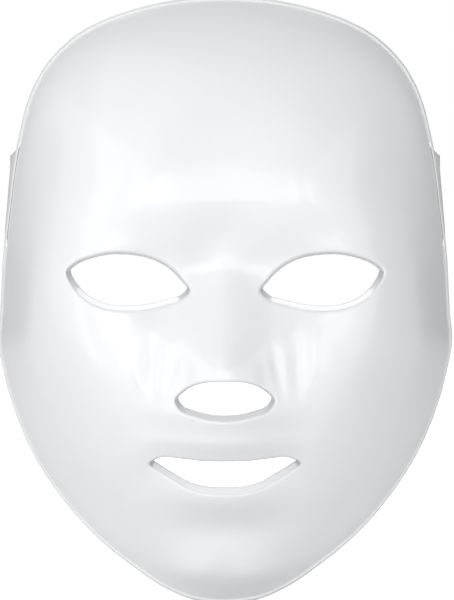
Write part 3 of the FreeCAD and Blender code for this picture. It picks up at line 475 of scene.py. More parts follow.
def make_face(shell):
    """The moulded face. Returns the outer skin's rows and their exact normals."""
    rim = rim_loop()
    inner = inner_rim(rim)
    openings = [EYE, [(-x, z) for x, z in EYE], whole(NOSE_HALF), whole(MOUTH_HALF)]
    edges = [smooth_loop(o, EDGE) for o in openings]
    reach = [0.02, 0.08, 0.2, 0.4, 0.7, 1.0, 1.3] if FINE else [0.02, 0.2, 0.7, 1.3]

    # outer skin
    skin_rim = towards(rim, CENTRE, RIM_INSET)
    second = towards(rim, CENTRE, SECOND_INSET)
    rings = [[edge + loop_normals(edge) * s for s in reach] for edge in edges]
    grid = hex_grid(-94, 94, -160, 78, GRID)
    keep = inside(CENTRE + (rim - CENTRE) * 0.981, grid)
    for edge in edges:
        keep &= ~inside(edge + loop_normals(edge) * (reach[-1] + 0.6 * GRID), grid)
    loose = np.concatenate([second] + [r for group in rings for r in group[1:]] + [grid[keep]])
    flat, faces, _ = triangulate([skin_rim], [group[0] for group in rings], loose)
    x, z = flat.T
    step = 0.2
    slope = np.stack([(form(x + step, z) - form(x - step, z)) / (2 * step),
                      (form(x, z + step) - form(x, z - step)) / (2 * step)], 1)
    roll = np.zeros(len(flat))
    n_rim = len(skin_rim)
    first = np.cumsum([0, n_rim] + [len(e) for e in edges])
    fronts = [np.arange(first[i + 1], first[i + 2]) for i in range(len(edges))]
    at = first[-1] + len(second)
    for i, edge in enumerate(edges):
        out = loop_normals(edge)
        for k, s in enumerate(reach):
            rows = fronts[i] if k == 0 else np.arange(at, at + len(edge))
            if k:
                at += len(edge)
            t = max(0.0, 1 - s / LIP_ROLL)
            roll[rows] = LIP_ROLL * (1 - math.sqrt(1 - t * t))
            slope[rows] -= out * (t / math.sqrt(1 - t * t))
    points = np.stack([x, form(x, z) + roll, z], 1)
    normals = np.stack([slope[:, 0], -np.ones(len(x)), slope[:, 1]], 1)
    normals /= np.linalg.norm(normals, axis=1, keepdims=True)
    rows = shell.add(points)
    base = rows[0]
    shell.faces += [tuple(f + base) for f in faces]          # anticlockwise seen from -Y with +Z up

    # back skin
    back_holes = [edge + loop_normals(edge) * COLLAR_WALL for edge in edges]
    back_grid = hex_grid(-94, 94, -160, 78, BACK_GRID)
    keep = inside(CENTRE + (inner - CENTRE) * 0.975, back_grid)
    for hole in back_holes:
        keep &= ~inside(hole + loop_normals(hole) * 0.6 * BACK_GRID, back_grid)
    back_flat, back_faces, _ = triangulate([inner], back_holes, back_grid[keep])
    back_rows = shell.add(lift(back_flat, back_y(*back_flat.T)))
    shell.faces += [tuple((f + back_rows[0])[::-1]) for f in back_faces]
    first_back = np.cumsum([0, len(inner)] + [len(h) for h in back_holes])
    backs = [back_rows[0] + np.arange(first_back[i + 1], first_back[i + 2]) for i in range(len(edges))]

    # rim
    outer_edge = lift(rim, rim_y(rim[:, 1]))
    inner_edge = lift(inner, rim_y(inner[:, 1]))
    before = points[:n_rim]
    after = towards(outer_edge, inner_edge, RIM_ROUND)
    band = [rows[:n_rim]]
    for row in rounded(before, outer_edge, after):
        band.append(shell.add(row))
    band.append(shell.add(after))
    band.append(shell.add(towards(inner_edge, outer_edge, TIGHT)))
    band.append(back_rows[:n_rim])
    for a, b in zip(band, band[1:]):
        shell.faces += [f[::-1] for f in strip(a, b)]
    add_openings(shell, edges, [base + f for f in fronts], backs)
    exact = np.arange(n_rim, len(points))
    return base + exact, normals[exact]


# ---------------------------------------------------------------- temple wings
WING_WALL = 2.0
WING_LOW_Z, WING_HIGH_Z, WING_REAR_Y, WING_CORNER = -21.0, 20.0, 8.0, 9.0
WING_ROOT = 6.0             # how far a wing's root runs forward inside the shell's wall
WALL_LEAN = 0.36
WING_CREST = (-5.0, 87.4, -0.08)    # depth, distance out, and its change with height
WING_BAR = (1.5, 85.2)
WING_ROUND = 0.7
WING_TUCK = 5.5             # over this height the wing comes in to the shell at its top and its bottom
SLOT_HALF_HEIGHT, SLOT_HALF_WIDTH = 16.0, 2.25


def half_width(z):
    """Half the mask's width at the rim, at height z."""
    low, high = np.zeros_like(z), np.full_like(z, 2 * GAUGE_HALF_WIDTH)
    for _ in range(40):
        middle = (low + high) / 2
        distance, _, rim_radius = from_centre(middle, z)
        low = np.where(distance < rim_radius, middle, low)
        high = np.where(distance < rim_radius, high, middle)
    return low


def wing_x(y, z):
    """How far out a wing's outer face lies: in the shell's wall at its root, then a swell and a bar."""
    wall, rim = half_width(z), rim_y(z)
    crest_y, bar_y, bar_x = (np.full_like(z, value) for value in (WING_CREST[0], *WING_BAR))
    at = np.stack([rim - WING_ROOT, rim - 1.5, rim, crest_y, bar_y, np.full_like(z, WING_REAR_Y + 1)])
    out = np.stack([wall - WING_ROOT * WALL_LEAN - 0.4, wall - 1.5 * WALL_LEAN + 0.02, wall + 0.05,
                    WING_CREST[1] + WING_CREST[2] * z, bar_x, bar_x])
    result = np.empty_like(y)
    for i in range(len(y)):
        slope = np.gradient(out[:, i], at[:, i])
        slope[-2:] = 0.0
        k = min(max(int(np.searchsorted(at[:, i], y[i], side="right")) - 1, 0), 4)
        span = at[k + 1, i] - at[k, i]
        s = min(max((y[i] - at[k, i]) / span, 0.0), 1.0)
        result[i] = between(out[k, i], out[k + 1, i], span * slope[k], span * slope[k + 1], s)
    share = smooth_step(np.minimum(WING_HIGH_Z - z, z - WING_LOW_Z) / WING_TUCK)
    return np.where(result > wall, wall + (result - wall) * share, result)


def stadium(half_long, half_wide, count=12):
    """A slot's outline, long way up."""
    straight = half_long - half_wide
    turn = np.radians(np.linspace(0, 180, count))
    top = np.stack([half_wide * np.cos(turn), straight + half_wide * np.sin(turn)], 1)
    return np.concatenate([top, -top])


def wing_outline():
    """A wing's outline as (y, z), anticlockwise, with its front edge inside the shell's wall."""
    rise = np.linspace(WING_LOW_Z, WING_HIGH_Z, 30)
    front = np.stack([rim_y(rise) - WING_ROOT + 0.5, rise], 1)[::-1]
    turn = np.radians(np.linspace(-90, 0, 14))
    low = np.stack([WING_REAR_Y - WING_CORNER + WING_CORNER * np.cos(turn),
                    WING_LOW_Z + WING_CORNER + WING_CORNER * np.sin(turn)], 1)
    high = np.stack([low[:, 0], WING_HIGH_Z + WING_LOW_Z - low[:, 1]], 1)[::-1]
    return np.concatenate([front, low, high])


def make_wing(shell, side):
    """A plate with rounded edges and a rounded slot."""
    spacing = 0.8 if FINE else 1.6
    outline = evenly(wing_outline(), spacing)
    for _ in range(4 if FINE else 2):
        outline = 0.25 * np.roll(outline, 1, 0) + 0.5 * outline + 0.25 * np.roll(outline, -1, 0)
    hole = evenly(stadium(SLOT_HALF_HEIGHT, SLOT_HALF_WIDTH), spacing)
    loops = [(outline, -1.0), (hole, 1.0)]
    r = WING_ROUND
    starts = [loop + sign * r * loop_normals(loop) for loop, sign in loops]
    grid = hex_grid(-32, 12, -24, 24, 1.5 if FINE else 3.0)
    margin = 1.6
    keep = inside(outline - margin * loop_normals(outline), grid)
    keep &= ~inside(hole + margin * loop_normals(hole), grid)
    flat, faces, _ = triangulate([starts[0]], [starts[1]], grid[keep])

    def at(points, depth):
        x = wing_x(points[:, 0], points[:, 1]) - depth
        return np.stack([side * x, points[:, 0], points[:, 1]], 1)

    outer = shell.add(at(flat, 0.0))
    inner = shell.add(at(flat, WING_WALL))
    turned = side > 0
    shell.faces += [tuple((f + outer[0])[::1 if turned else -1]) for f in faces]
    shell.faces += [tuple((f + inner[0])[::-1 if turned else 1]) for f in faces]
    first = 0
    for (loop, sign), start in zip(loops, starts):
        rows = [outer[first:first + len(start)]]
        shares = (0.35, 0.7, 1.0)
        for share, from_rear in [(share, False) for share in shares] + [(share, True) for share in shares[::-1]]:
            angle = share * math.pi / 2
            inward = r * (1 - math.sin(angle))
            depth = r * (1 - math.cos(angle))
            ring = loop + sign * inward * loop_normals(loop)
            rows.append(shell.add(at(ring, WING_WALL - depth if from_rear else depth)))
        rows.append(inner[first:first + len(start)])
        for a, b in zip(rows, rows[1:]):
            quads = strip(a, b)
            shell.faces += quads if (sign > 0) == turned else [q[::-1] for q in quads]
        first += len(start)


# ---------------------------------------------------------------- nose rest
NOSE_REST_HALF = [(0, -29), (8.5, -30), (10.5, -47), (0, -49)]
NOSE_REST_THICKNESS = 3.6
NOSE_REST_ROUND = 1.5
NOSE_REST_FOOT = 0.3        # how far the foot is drawn in from the outline
GROOVE_PLACES, GROOVE_DEPTH, GROOVE_HALF_WIDTH = (-35.0, -39.0, -43.0), 0.35, 0.55
GRID_GAP = 0.5              # least distance of a loose point from the edge
SEAM = 0.15


def rounded_polygon(points, radius, count=8):
    """A closed polygon with arcs at its corners."""
    p = [np.array(q, float) for q in points]
    loop = []
    for i, corner in enumerate(p):
        a = p[i - 1] - corner
        b = p[(i + 1) % len(p)] - corner
        la, lb = np.linalg.norm(a), np.linalg.norm(b)
        half = math.acos(max(-1.0, min(1.0, float(a @ b) / (la * lb)))) / 2
        reach = min(radius / math.tan(half), 0.45 * min(la, lb))
        start, end = corner + a / la * reach, corner + b / lb * reach
        for t in np.linspace(0, 1, count):
            loop.append((1 - t) ** 2 * start + 2 * t * (1 - t) * corner + t ** 2 * end)
    return anticlockwise(np.array(loop))


def make_nose_rest():
    """A soft saddle with round edges and three shallow grooves across it, standing on the inner shell."""
    pad = Builder()
    outline = evenly(rounded_polygon(whole(NOSE_REST_HALF), 3.0), 0.7 if FINE else 1.4)
    inner = outline - NOSE_REST_ROUND * loop_normals(outline)
    grid = hex_grid(-12, 12, -50, -28, 0.8 if FINE else 1.6)
    flat, faces, _ = triangulate([inner], [], grid[inside(inner - GRID_GAP * loop_normals(inner), grid)])
    front, rear = LINING_BACK + SEAM, LINING_BACK + SEAM + NOSE_REST_THICKNESS

    def groove(points):
        from_grooves = [(points[:, 1] - z) / GROOVE_HALF_WIDTH for z in GROOVE_PLACES]
        return GROOVE_DEPTH * sum(np.exp(-away ** 2) for away in from_grooves)

    top = pad.add(offset_point(lining, *flat.T, rear - groove(flat)))
    pad.faces += [tuple(f + top[0]) for f in faces]
    rows = [top[:len(inner)]]
    for angle in np.radians((30, 60, 90)):
        ring = outline - NOSE_REST_ROUND * (1 - math.sin(angle)) * loop_normals(outline)
        rows.append(pad.add(offset_point(lining, *ring.T, rear - NOSE_REST_ROUND * (1 - math.cos(angle)))))
    rows.append(pad.add(offset_point(lining, *outline.T, front + TIGHT)))
    bottom_ring = outline - NOSE_REST_FOOT * loop_normals(outline)
    bottom = pad.add(offset_point(lining, *bottom_ring.T, front))
    rows.append(bottom)
    pad.band(rows)
    base = grid[inside(bottom_ring - GRID_GAP * loop_normals(bottom_ring), grid)]
    under, under_faces, _ = triangulate([bottom_ring], [], base)
    extra = pad.add(offset_point(lining, *under[len(bottom_ring):].T, front))
    lookup = np.concatenate([bottom, extra])
    pad.faces += [tuple(lookup[f][::-1]) for f in under_faces]
    orient(pad, 0)
    return pad.finish("nose_rest_saddle")


# ---------------------------------------------------------------- LEDs
LED_PITCH_X, LED_PITCH_Z = 10.4, 9.6
BEAD_MIDDLE = 7.1           # how far behind the lining's form an LED's middle lies
BOARDS = ("forehead", "nose", "lip", "chin", "cheek_left", "cheek_right")
LED_PROFILE = [(0, 0), (2.45, 0), (2.55, 0.1), (2.55, 0.7), (2.45, 0.8), (2.33, 0.85), (2.3, 1.0), (2.3, 1.4),
               (2.22, 2.0), (1.99, 2.55), (1.63, 3.02), (1.15, 3.39), (0.59, 3.62), (0, 3.7)]
CHIP_PROFILE = [(0, 0.25), (1.5, 0.25), (1.55, 0.4), (1.55, 1.05), (1.4, 1.1), (1.05, 0.7), (0.95, 0.62),
                (0.55, 0.62), (0.5, 0.85), (0, 0.85)]


def beads_of(node):
    """The vertices of each LED of a CAD node, in millimetres."""
    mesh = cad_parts[node].data
    points = np.array([v.co for v in mesh.vertices]) / MM
    owner = list(range(len(points)))

    def root(i):
        while owner[i] != i:
            owner[i] = owner[owner[i]]
            i = owner[i]
        return i

    seen_at = {}
    for i, p in enumerate(points):
        owner[root(i)] = root(seen_at.setdefault(tuple(np.round(p, 3)), i))
    for edge in mesh.edges:
        owner[root(edge.vertices[0])] = root(edge.vertices[1])
    groups = {}
    for i in range(len(points)):
        groups.setdefault(root(i), []).append(i)
    return [points[rows] for rows in groups.values()]


def led_frame(bead, on_grid):
    """The foot and the axis of one LED. The LEDs stand square to the lining, on a staggered grid."""
    middle = (bead.min(0) + bead.max(0)) / 2
    x, z = middle[0], middle[2]
    for _ in range(6):
        axis = normal_at(lining, np.array([x]), np.array([z]))[0]
        x, z = middle[0] - axis[0] * BEAD_MIDDLE, middle[2] - axis[2] * BEAD_MIDDLE
    if on_grid:
        row = round(z / LED_PITCH_Z)
        stagger = 0.5 * (row % 2)
        x, z = (round(x / LED_PITCH_X - stagger) + stagger) * LED_PITCH_X, row * LED_PITCH_Z
    at, up = np.array([x]), np.array([z])
    axis = normal_at(lining, at, up, 0.5)[0]
    ground = np.array([x, float(lining(at, up)[0]), z])
    return ground + axis * float(((bead - ground) @ axis).min()), axis


def revolve(builder, profile, foot, axis, count):
    """A closed body of revolution. The profile is (radius, height), from the foot's middle to the tip's."""
    across = np.cross(axis, (0.0, 0.0, 1.0))
    across /= np.linalg.norm(across)
    other = np.cross(axis, across)
    turn = np.radians(np.arange(count) * 360 / count)
    rows = []
    for radius, height in profile:
        centre = foot + axis * height
        if radius == 0:
            rows.append(builder.add([centre]))
        else:
            spoke = np.cos(turn)[:, None] * across + np.sin(turn)[:, None] * other
            rows.append(builder.add(centre + radius * spoke))
    for a, b in zip(rows, rows[1:]):
        if len(a) == 1:
            builder.faces += [(a[0], b[i], b[(i + 1) % count]) for i in range(count)]
        elif len(b) == 1:
            builder.faces += [(a[i], b[0], a[(i + 1) % count]) for i in range(count)]
        else:
            builder.faces += strip(a, b)


def make_leds(board):
    """Clear beads and, inside each, a small square chip in its cup."""
    lenses, chips = Builder(), Builder()
    for bead in beads_of("leds_" + board):
        foot, axis = led_frame(bead, board != "lip")
        revolve(lenses, LED_PROFILE, foot, axis, 24 if FINE else 12)
        revolve(chips, CHIP_PROFILE, foot, axis, 16 if FINE else 8)
    for builder in (lenses, chips):
        orient(builder, 0)
    return lenses.finish("led_lenses_" + board), chips.finish("led_chips_" + board)


# ---------------------------------------------------------------- head strap
STRAP_THICKNESS = 1.2
STRAP_HALF_WIDTH = 15.0
STRAP_INNER_X, STRAP_OUTER_X = 82.2, 87.0
STRAP_TURN_Y, STRAP_STRAIGHT = 1.8, 30.0
TAB_RADIUS = 84.5
TAB_START, TAB_END = 6.0, 44.0
PATCH_START, PATCH_END = 12.0, 42.0
PATCH_RADIUS = 83.35
PATCH_THICKNESS = 0.8
STRAP_STEP = 1.2 if FINE else 3.0
STRAP_RIBS, RIB_DEPTH = 15, 0.12
STITCH_LENGTH, STITCH_RADIUS, STITCH_PITCH, STITCH_INSET = 2.4, 0.22, 3.4, 2.2


def arc(centre, radius, start, end, spacing):
    count = max(3, int(abs(math.radians(end - start)) * radius / spacing))
    turn = np.radians(np.linspace(start, end, count))
    return np.stack([centre[0] + radius * np.cos(turn), centre[1] + radius * np.sin(turn)], 1)


def strap_plan():
    """The strap's middle line as (x, y), from the end of one tab to the end of the other."""
    head = (0.0, STRAP_STRAIGHT)
    tab = arc(head, TAB_RADIUS, TAB_END, TAB_START, 2.0)
    turn_centre = ((STRAP_INNER_X + STRAP_OUTER_X) / 2, STRAP_TURN_Y)
    slot_turn = arc(turn_centre, (STRAP_OUTER_X - STRAP_INNER_X) / 2, 0, -180, 0.5)
    behind = arc(head, STRAP_INNER_X, 0, 90, 2.0)
    right = np.concatenate([tab, [[STRAP_OUTER_X, 23.0], [STRAP_OUTER_X, 12.0]], slot_turn,
                            [[STRAP_INNER_X, 12.0], [STRAP_INNER_X, 22.0]], behind])
    left = right[:-1][::-1] * (-1, 1)
    return np.concatenate([right, left])


def open_line(points, spacing):
    """An open polyline sampled at even steps, with its corners eased."""
    p = np.array(points, float)
    for _ in range(2):
        p[1:-1] = 0.25 * p[:-2] + 0.5 * p[1:-1] + 0.25 * p[2:]
    steps = np.linalg.norm(np.diff(p, axis=0), axis=1)
    along = np.concatenate([[0], np.cumsum(steps)])
    want = np.linspace(0, along[-1], int(along[-1] / spacing) + 1)
    return np.stack([np.interp(want, along, p[:, k]) for k in (0, 1)], 1), along[-1]


def ribbon(name, plan, thickness, half_width, ribs, depth, spacing):
    """A woven band on edge along a plan line. Cords run along it as ribs, and its two edges are round."""
    line, length = open_line(plan, spacing)
    along = np.gradient(line, axis=0)
    along /= np.linalg.norm(along, axis=1, keepdims=True)
    out = np.stack([-along[:, 1], along[:, 0]], 1)
    half = thickness / 2
    columns = ribs * (4 if FINE else 1) + 1
    across = np.linspace(-half_width + half, half_width - half, columns)
    swell = half - depth * (0.5 - 0.5 * np.cos(np.linspace(0, ribs, columns) * 2 * math.pi))
    edge = np.radians([60, 30, 0, -30, -60])
    section = np.concatenate([
        np.stack([swell, across], 1),
        np.stack([half * np.sin(edge), half_width - half + half * np.cos(edge)], 1),
        np.stack([-swell[::-1], across[::-1]], 1),
        np.stack([-half * np.sin(edge), -half_width + half - half * np.cos(edge)], 1)])
    band = Builder()
    rows = []
    for p, o in zip(line, out):
        offset = section[:, 0]
        rows.append(band.add(np.stack([p[0] + o[0] * offset, p[1] + o[1] * offset, section[:, 1]], 1)))
    band.band(rows)
    for row, turned in ((rows[0], True), (rows[-1], False)):
        middle = band.add([np.concatenate(band.points)[row].mean(0)])[0]
        order = -1 if turned else 1
        band.faces += [(middle, row[i], row[(i + 1) % len(row)])[::order] for i in range(len(row))]
    orient(band, 0)
    made = band.finish(name)
    layer = made.data.uv_layers.new(name="along")
    where = {int(k): i * spacing for i, row in enumerate(rows) for k in row}
    points = np.concatenate(band.points)
    for loop in made.data.loops:
        k = loop.vertex_index
        layer.data[loop.index].uv = (where.get(k, 0) * MM, points[k][2] * MM)
    return made, length


def stitch(builder, place, out, along):
    """One thread stitch, a small arch pressed into the strap."""
    turn = np.radians(np.arange(0, 360, 60))
    spoke = np.cos(turn)[:, None] * out + np.sin(turn)[:, None] * np.cross(along, out)
    rows = []
    for t in (-0.5, -0.32, 0.0, 0.32, 0.5):
        rise = 0.16 - 1.5 * t * t
        size = STITCH_RADIUS * (1.0 if abs(t) < 0.4 else 0.55)
        rows.append(builder.add(place + along * (t * STITCH_LENGTH) + out * rise + size * spoke))
    builder.band(rows)
    builder.faces += [tuple(rows[0][::-1]), tuple(rows[-1])]


def make_stitching(side):
    """The box of stitches that holds a hook patch to the strap's tab."""
    threads = Builder()
    face = TAB_RADIUS + STRAP_THICKNESS / 2 - 0.03
    top = STRAP_HALF_WIDTH - STITCH_INSET
    first, last = math.radians(PATCH_START + 1.5), math.radians(PATCH_END - 1.5)
    across = np.linspace(first, last, int((last - first) * face / STITCH_PITCH))
    up = np.linspace(-top, top, int(2 * top / STITCH_PITCH))[1:-1]
    stitches = [(a, z, False) for a in across for z in (top, -top)]
    stitches += [(a, z, True) for a in (first, last) for z in up]
    flip = np.array([side, 1, 1])
    for a, z, upright in stitches:
        out = np.array([math.cos(a), math.sin(a), 0.0])
        place = np.array([0, STRAP_STRAIGHT, z]) + out * face
        along = np.array([0.0, 0.0, 1.0] if upright else [-math.sin(a), math.cos(a), 0.0])
        stitch(threads, place * flip, out * flip, along * flip)
    orient(threads, 0)
    return threads.finish("strap_stitching_" + ("left" if side > 0 else "right"))


# ---------------------------------------------------------------- the pieces
shell = Builder()
exact = make_face(shell)
for side in (1, -1):
    mark = len(shell.faces)
    make_wing(shell, side)
    orient(shell, mark)
front_shell = shell.finish("front_shell_moulding", exact=exact)
nose_rest = make_nose_rest()
leds = {board: make_leds(board) for board in BOARDS}
head_strap, strap_length = ribbon("head_strap", strap_plan(), STRAP_THICKNESS, STRAP_HALF_WIDTH, STRAP_RIBS,
                                  RIB_DEPTH, STRAP_STEP)
patch_line = arc((0.0, STRAP_STRAIGHT), PATCH_RADIUS, PATCH_START, PATCH_END, 1.0)
patches = {}
stitching = {}
for side, name in ((1, "left"), (-1, "right")):
    patches[name] = ribbon("hook_tape_" + name, patch_line * (side, 1), PATCH_THICKNESS, STRAP_HALF_WIDTH,
                           1, 0.0, STRAP_STEP)
    stitching[name] = make_stitching(side)


# ---------------------------------------------------------------- materials
def material(name, colour, rough, **extra):
    """A Principled material whose colour and roughness vary with soft noise, with a fine bump."""
    made = bpy.data.materials.new(name)
    made.use_nodes = True
    tree = made.node_tree
    shader = tree.nodes["Principled BSDF"]
    place = tree.nodes.new("ShaderNodeTexCoord").outputs["Object"]

    def noise(scale, detail=3.0, roughness=0.55):
        node = tree.nodes.new("ShaderNodeTexNoise")
        node.inputs["Scale"].default_value = scale
        node.inputs["Detail"].default_value = detail
        node.inputs["Roughness"].default_value = roughness
        tree.links.new(place, node.inputs["Vector"])
        return node.outputs["Fac"]

    def spread(source, low, high):
        node = tree.nodes.new("ShaderNodeMapRange")
        tree.links.new(source, node.inputs[0])
        node.inputs[1].default_value = 0.3
        node.inputs[2].default_value = 0.7
        node.inputs[3].default_value = low
        node.inputs[4].default_value = high
        return node.outputs[0]

    mix = tree.nodes.new("ShaderNodeMix")
    mix.data_type = "RGBA"
    shade = extra.get("shade", 0.93)
    mix.inputs["A"].default_value = (*(c * shade for c in colour), 1)
    mix.inputs["B"].default_value = (*colour, 1)
    tree.links.new(spread(noise(extra.get("mottle", 60.0)), 0.0, 1.0), mix.inputs["Factor"])
    tree.links.new(mix.outputs["Result"], shader.inputs["Base Color"])
    swing = extra.get("rough_swing", 0.05)
    tree.links.new(spread(noise(extra.get("patch", 25.0), 4.0), rough - swing, rough + swing),
                   shader.inputs["Roughness"])
    bump = tree.nodes.new("ShaderNodeBump")
    bump.inputs["Strength"].default_value = extra.get("bump", 0.1)
    bump.inputs["Distance"].default_value = extra.get("bump_depth", 0.0001)
    tree.links.new(noise(extra.get("grain", 900.0), 2.0), bump.inputs["Height"])
    tree.links.new(bump.outputs["Normal"], shader.inputs["Normal"])
    for key, value in extra.get("inputs", {}).items():
        shader.inputs[key].default_value = value
    return made


GLOSS = material("gloss_shell", (0.80, 0.805, 0.82), 0.33, shade=0.985, mottle=18.0, rough_swing=0.02,
                 patch=14.0, grain=260.0, bump=0.03, bump_depth=0.0002,
                 inputs={"Coat Weight": 0.6, "Coat Roughness": 0.07})
SATIN = material("inner_plastic", (0.80, 0.81, 0.81), 0.45, shade=0.96, mottle=40.0, grain=1500.0, bump=0.25,
                 bump_depth=0.00008)
BOARD = material("flex_board", (0.76, 0.76, 0.70), 0.5, shade=0.94, mottle=90.0, grain=700.0, bump=0.2)
LENS = material("led_epoxy", (0.93, 0.93, 0.90), 0.06, shade=0.98, mottle=300.0, rough_swing=0.02,
                patch=200.0, grain=900.0, bump=0.02, inputs={"Transmission Weight": 0.92, "IOR": 1.5})
CHIP = material("led_chip", (0.78, 0.66, 0.30), 0.4, shade=0.8, mottle=900.0, grain=3000.0, bump=0.2)
RIBBON = material("ribbon", (0.62, 0.27, 0.07), 0.35, shade=0.85, mottle=150.0, grain=900.0, bump=0.1)
BLACK = material("chip_black", (0.03, 0.03, 0.032), 0.45, shade=0.7, mottle=800.0, grain=4000.0, bump=0.3)
SILICONE = material("silicone", (0.78, 0.79, 0.80), 0.38, shade=0.95, mottle=120.0, grain=1800.0, bump=0.15,
                    inputs={"Subsurface Weight": 0.35, "Subsurface Radius": (0.004, 0.004, 0.004),
                            "Subsurface Scale": 1.0})
STEEL = material("screw_steel", (0.60, 0.60, 0.62), 0.28, shade=0.85, mottle=500.0, rough_swing=0.08,
                 grain=2500.0, bump=0.15, inputs={"Metallic": 1.0})
JACK_BLACK = material("jack_plastic", (0.025, 0.025, 0.028), 0.42, shade=0.8, mottle=200.0, grain=2500.0,
                      bump=0.2)
NICKEL = material("jack_metal", (0.72, 0.70, 0.66), 0.18, shade=0.9, mottle=400.0, grain=2500.0, bump=0.05,
                  inputs={"Metallic": 1.0})
WIRE = material("wire_skin", (0.55, 0.03, 0.025), 0.42, shade=0.85, mottle=300.0, grain=1200.0, bump=0.1)
THREAD = material("strap_thread", (0.74, 0.74, 0.73), 0.75, shade=0.8, mottle=2500.0, grain=5000.0, bump=0.5)


def woven(name, colour, pitch, cord, rough, depth):
    """A woven or looped cloth: short floats along each cord, staggered from cord to cord, with painted shade
    that darkens the colour in the hollows between them.
    """
    made = material(name, colour, rough, shade=0.9, mottle=700.0, grain=3500.0, bump=0.3, bump_depth=0.00012,
                    inputs={"Sheen Weight": 0.3, "Sheen Roughness": 0.5})
    tree = made.node_tree
    place = tree.nodes.new("ShaderNodeUVMap")
    place.uv_map = "along"
    split = tree.nodes.new("ShaderNodeSeparateXYZ")
    tree.links.new(place.outputs["UV"], split.inputs["Vector"])

    def maths(kind, a, b=None):
        node = tree.nodes.new("ShaderNodeMath")
        node.operation = kind
        for socket, value in zip(node.inputs, (a, b)):
            if isinstance(value, (int, float)):
                socket.default_value = value
            elif value is not None:
                tree.links.new(value, socket)
        return node.outputs[0]

    cords = maths("DIVIDE", split.outputs["Y"], cord)
    stagger = maths("MULTIPLY", maths("FLOOR", cords), math.pi)
    along = maths("MULTIPLY", split.outputs["X"], 2 * math.pi / pitch)
    float_height = maths("SINE", maths("ADD", along, stagger))
    crown = maths("ABSOLUTE", maths("SINE", maths("MULTIPLY", cords, math.pi)))
    height = maths("MULTIPLY", maths("ADD", maths("MULTIPLY", float_height, 0.35), 0.65), crown)
    weave = tree.nodes.new("ShaderNodeBump")
    weave.inputs["Strength"].default_value = 0.8
    weave.inputs["Distance"].default_value = depth
    tree.links.new(height, weave.inputs["Height"])
    shader = tree.nodes["Principled BSDF"]
    fine = shader.inputs["Normal"].links[0].from_socket
    tree.links.new(fine, weave.inputs["Normal"])
    tree.links.new(weave.outputs["Normal"], shader.inputs["Normal"])
    colour_in = shader.inputs["Base Color"].links[0].from_socket
    # painted shade: the colour is multiplied darker where the weave's height is low, in the hollows between
    # floats and cords
    hollow_shade = tree.nodes.new("ShaderNodeMix")
    hollow_shade.data_type = "RGBA"
    hollow_shade.blend_type = "MULTIPLY"
    hollow_shade.inputs["B"].default_value = (0.72, 0.72, 0.72, 1)
    tree.links.new(colour_in, hollow_shade.inputs["A"])
    tree.links.new(maths("SUBTRACT", 1.0, height), hollow_shade.inputs["Factor"])
    tree.links.new(hollow_shade.outputs["Result"], shader.inputs["Base Color"])
    return made


ELASTIC = woven("strap_elastic", (0.80, 0.80, 0.79), 0.0016, 0.001, 0.8, 0.00025)
HOOKS = woven("hook_tape", (0.66, 0.66, 0.66), 0.0009, 0.0009, 0.6, 0.0004)


# ---------------------------------------------------------------- camera, light and background
def aim(thing, where, target):
    thing.location = Vector(where)
    thing.rotation_mode = "QUATERNION"
    thing.rotation_quaternion = (Vector(target) - Vector(where)).to_track_quat("-Z", "Y")


CAMERA_TARGET = Vector((0.0008, -0.030, -0.0415))
CAMERA_DISTANCE = 0.95
CAMERA_ELEVATION = math.radians(5.0)
view_data = bpy.data.cameras.new("camera")
camera = bpy.data.objects.new("camera", view_data)
SCENE.collection.objects.link(camera)
view_data.sensor_width = 36.0
view_data.lens = 144.2
view_data.clip_start, view_data.clip_end = 0.05, 20.0
away = Vector((0.0, -math.cos(CAMERA_ELEVATION), math.sin(CAMERA_ELEVATION)))
aim(camera, CAMERA_TARGET + away * CAMERA_DISTANCE, CAMERA_TARGET)
SCENE.camera = camera


def softbox(name, azimuth, elevation, distance, size, power):
    a, e = math.radians(azimuth), math.radians(elevation)
    target = Vector((0, -0.06, -0.04))
    where = target + distance * Vector((math.sin(a) * math.cos(e), -math.cos(a) * math.cos(e), math.sin(e)))
    data = bpy.data.lights.new(name, "AREA")
    data.shape = "SQUARE"
    data.size = size
    data.energy = power
    lamp = bpy.data.objects.new(name, data)
    SCENE.collection.objects.link(lamp)
    aim(lamp, where, target)


def two_levels(tree, lighting, seen):
    """A strength that differs between the light something gives and how the camera sees it."""
    path = tree.nodes.new("ShaderNodeLightPath")
    level = tree.nodes.new("ShaderNodeMapRange")
    tree.links.new(path.outputs["Is Camera Ray"], level.inputs[0])
    level.inputs[3].default_value = lighting
    level.inputs[4].default_value = seen
    return level.outputs[0]


LAMP_DISTANCE = 1.0
# (name, azimuth, elevation, size, power)
LAMPS = [("far_left", -75, 8, 0.8, 1.56), ("left", -50, 8, 0.8, 2.13), ("front_left", -25, 12, 0.4, 0.92),
         ("front", 0, 8, 0.8, 3.0), ("front_right", 25, 12, 0.35, 0.56), ("right", 50, 8, 0.8, 2.26),
         ("high_left", -50, 50, 0.8, 1.24), ("high", 0, 50, 0.8, 0.33), ("rear", 180, 38, 0.8, 3.0)]
for lamp_name, lamp_azimuth, lamp_elevation, lamp_size, lamp_power in LAMPS:
    softbox(lamp_name, lamp_azimuth, lamp_elevation, LAMP_DISTANCE, lamp_size, lamp_power)

world = bpy.data.worlds.new("studio")
SCENE.world = world
world.use_nodes = True
WORLD_LIGHT, FLOOR_LIGHT = 0.32, 0.003
background = world.node_tree.nodes["Background"]
world.node_tree.links.new(two_levels(world.node_tree, WORLD_LIGHT, 1.0), background.inputs["Strength"])
background.inputs["Color"].default_value = (1, 1, 1, 1)
SCENE.view_settings.view_transform = "Standard"

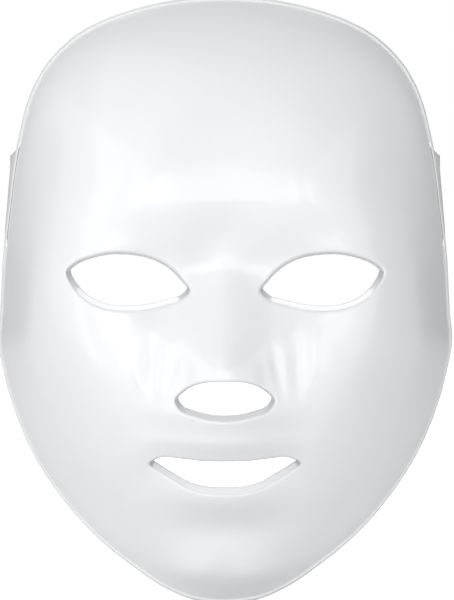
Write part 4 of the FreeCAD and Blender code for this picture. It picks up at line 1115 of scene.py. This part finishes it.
FLOOR_Z = CAD_BOX[0][2] - 0.001
FLOOR_HALF = 4.0
corners = [(x * FLOOR_HALF, y * FLOOR_HALF, FLOOR_Z) for x, y in ((-1, -1), (1, -1), (1, 1), (-1, 1))]
floor = new_object("floor", np.array(corners) / MM, [(0, 1, 2, 3)], smooth=False)
PALE = material("floor_pale", (0.86, 0.86, 0.865), 0.8, shade=0.99, mottle=3.0, grain=300.0, bump=0.02)
PALE.node_tree.nodes["Principled BSDF"].inputs["Emission Color"].default_value = (1, 1, 1, 1)
PALE.node_tree.links.new(two_levels(PALE.node_tree, FLOOR_LIGHT, 0.74),
                         PALE.node_tree.nodes["Principled BSDF"].inputs["Emission Strength"])
floor.data.materials.append(PALE)


# ---------------------------------------------------------------- how the pieces ride on the frame
def place(piece, body, nodes, slot, finish):
    """A piece rides on a body, stands for CAD nodes and gets its material."""
    if body:
        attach(piece, body)
    if nodes:
        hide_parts(*nodes)
    piece.data.materials.append(finish)


def paint(node, finish):
    """A CAD node keeps its shape and gets a material."""
    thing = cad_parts[node]
    for slot in thing.material_slots:
        slot.link = "OBJECT"
        slot.material = finish


place(front_shell, "mask", ["front_shell"], "gloss_shell", GLOSS)
place(nose_rest, "mask", ["nose_rest"], "silicone", SILICONE)
for board, (lenses, chips) in leds.items():
    place(lenses, "mask", ["leds_" + board], "led_epoxy", LENS)
    place(chips, "mask", [], "led_epoxy", CHIP)
    paint("led_board_" + board, BOARD)
place(head_strap, None,
      ["strap_band", "strap_loop_left", "strap_loop_right", "strap_tab_left", "strap_tab_right"],
      "strap_elastic", ELASTIC)
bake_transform(head_strap)
for name, (patch, _) in patches.items():
    place(patch, "strap", ["hook_patch_" + name], "hook_tape", HOOKS)
    place(stitching[name], "strap", [], "strap_elastic", THREAD)
PAINTS = {"inner_shell": SATIN, "board_links": RIBBON, "board_resistors": BLACK, "shell_screws": STEEL,
          "jack_body": JACK_BLACK, "jack_sleeve": NICKEL, "jack_pins": NICKEL, "jack_leads": WIRE}
for node, finish in PAINTS.items():
    paint(node, finish)
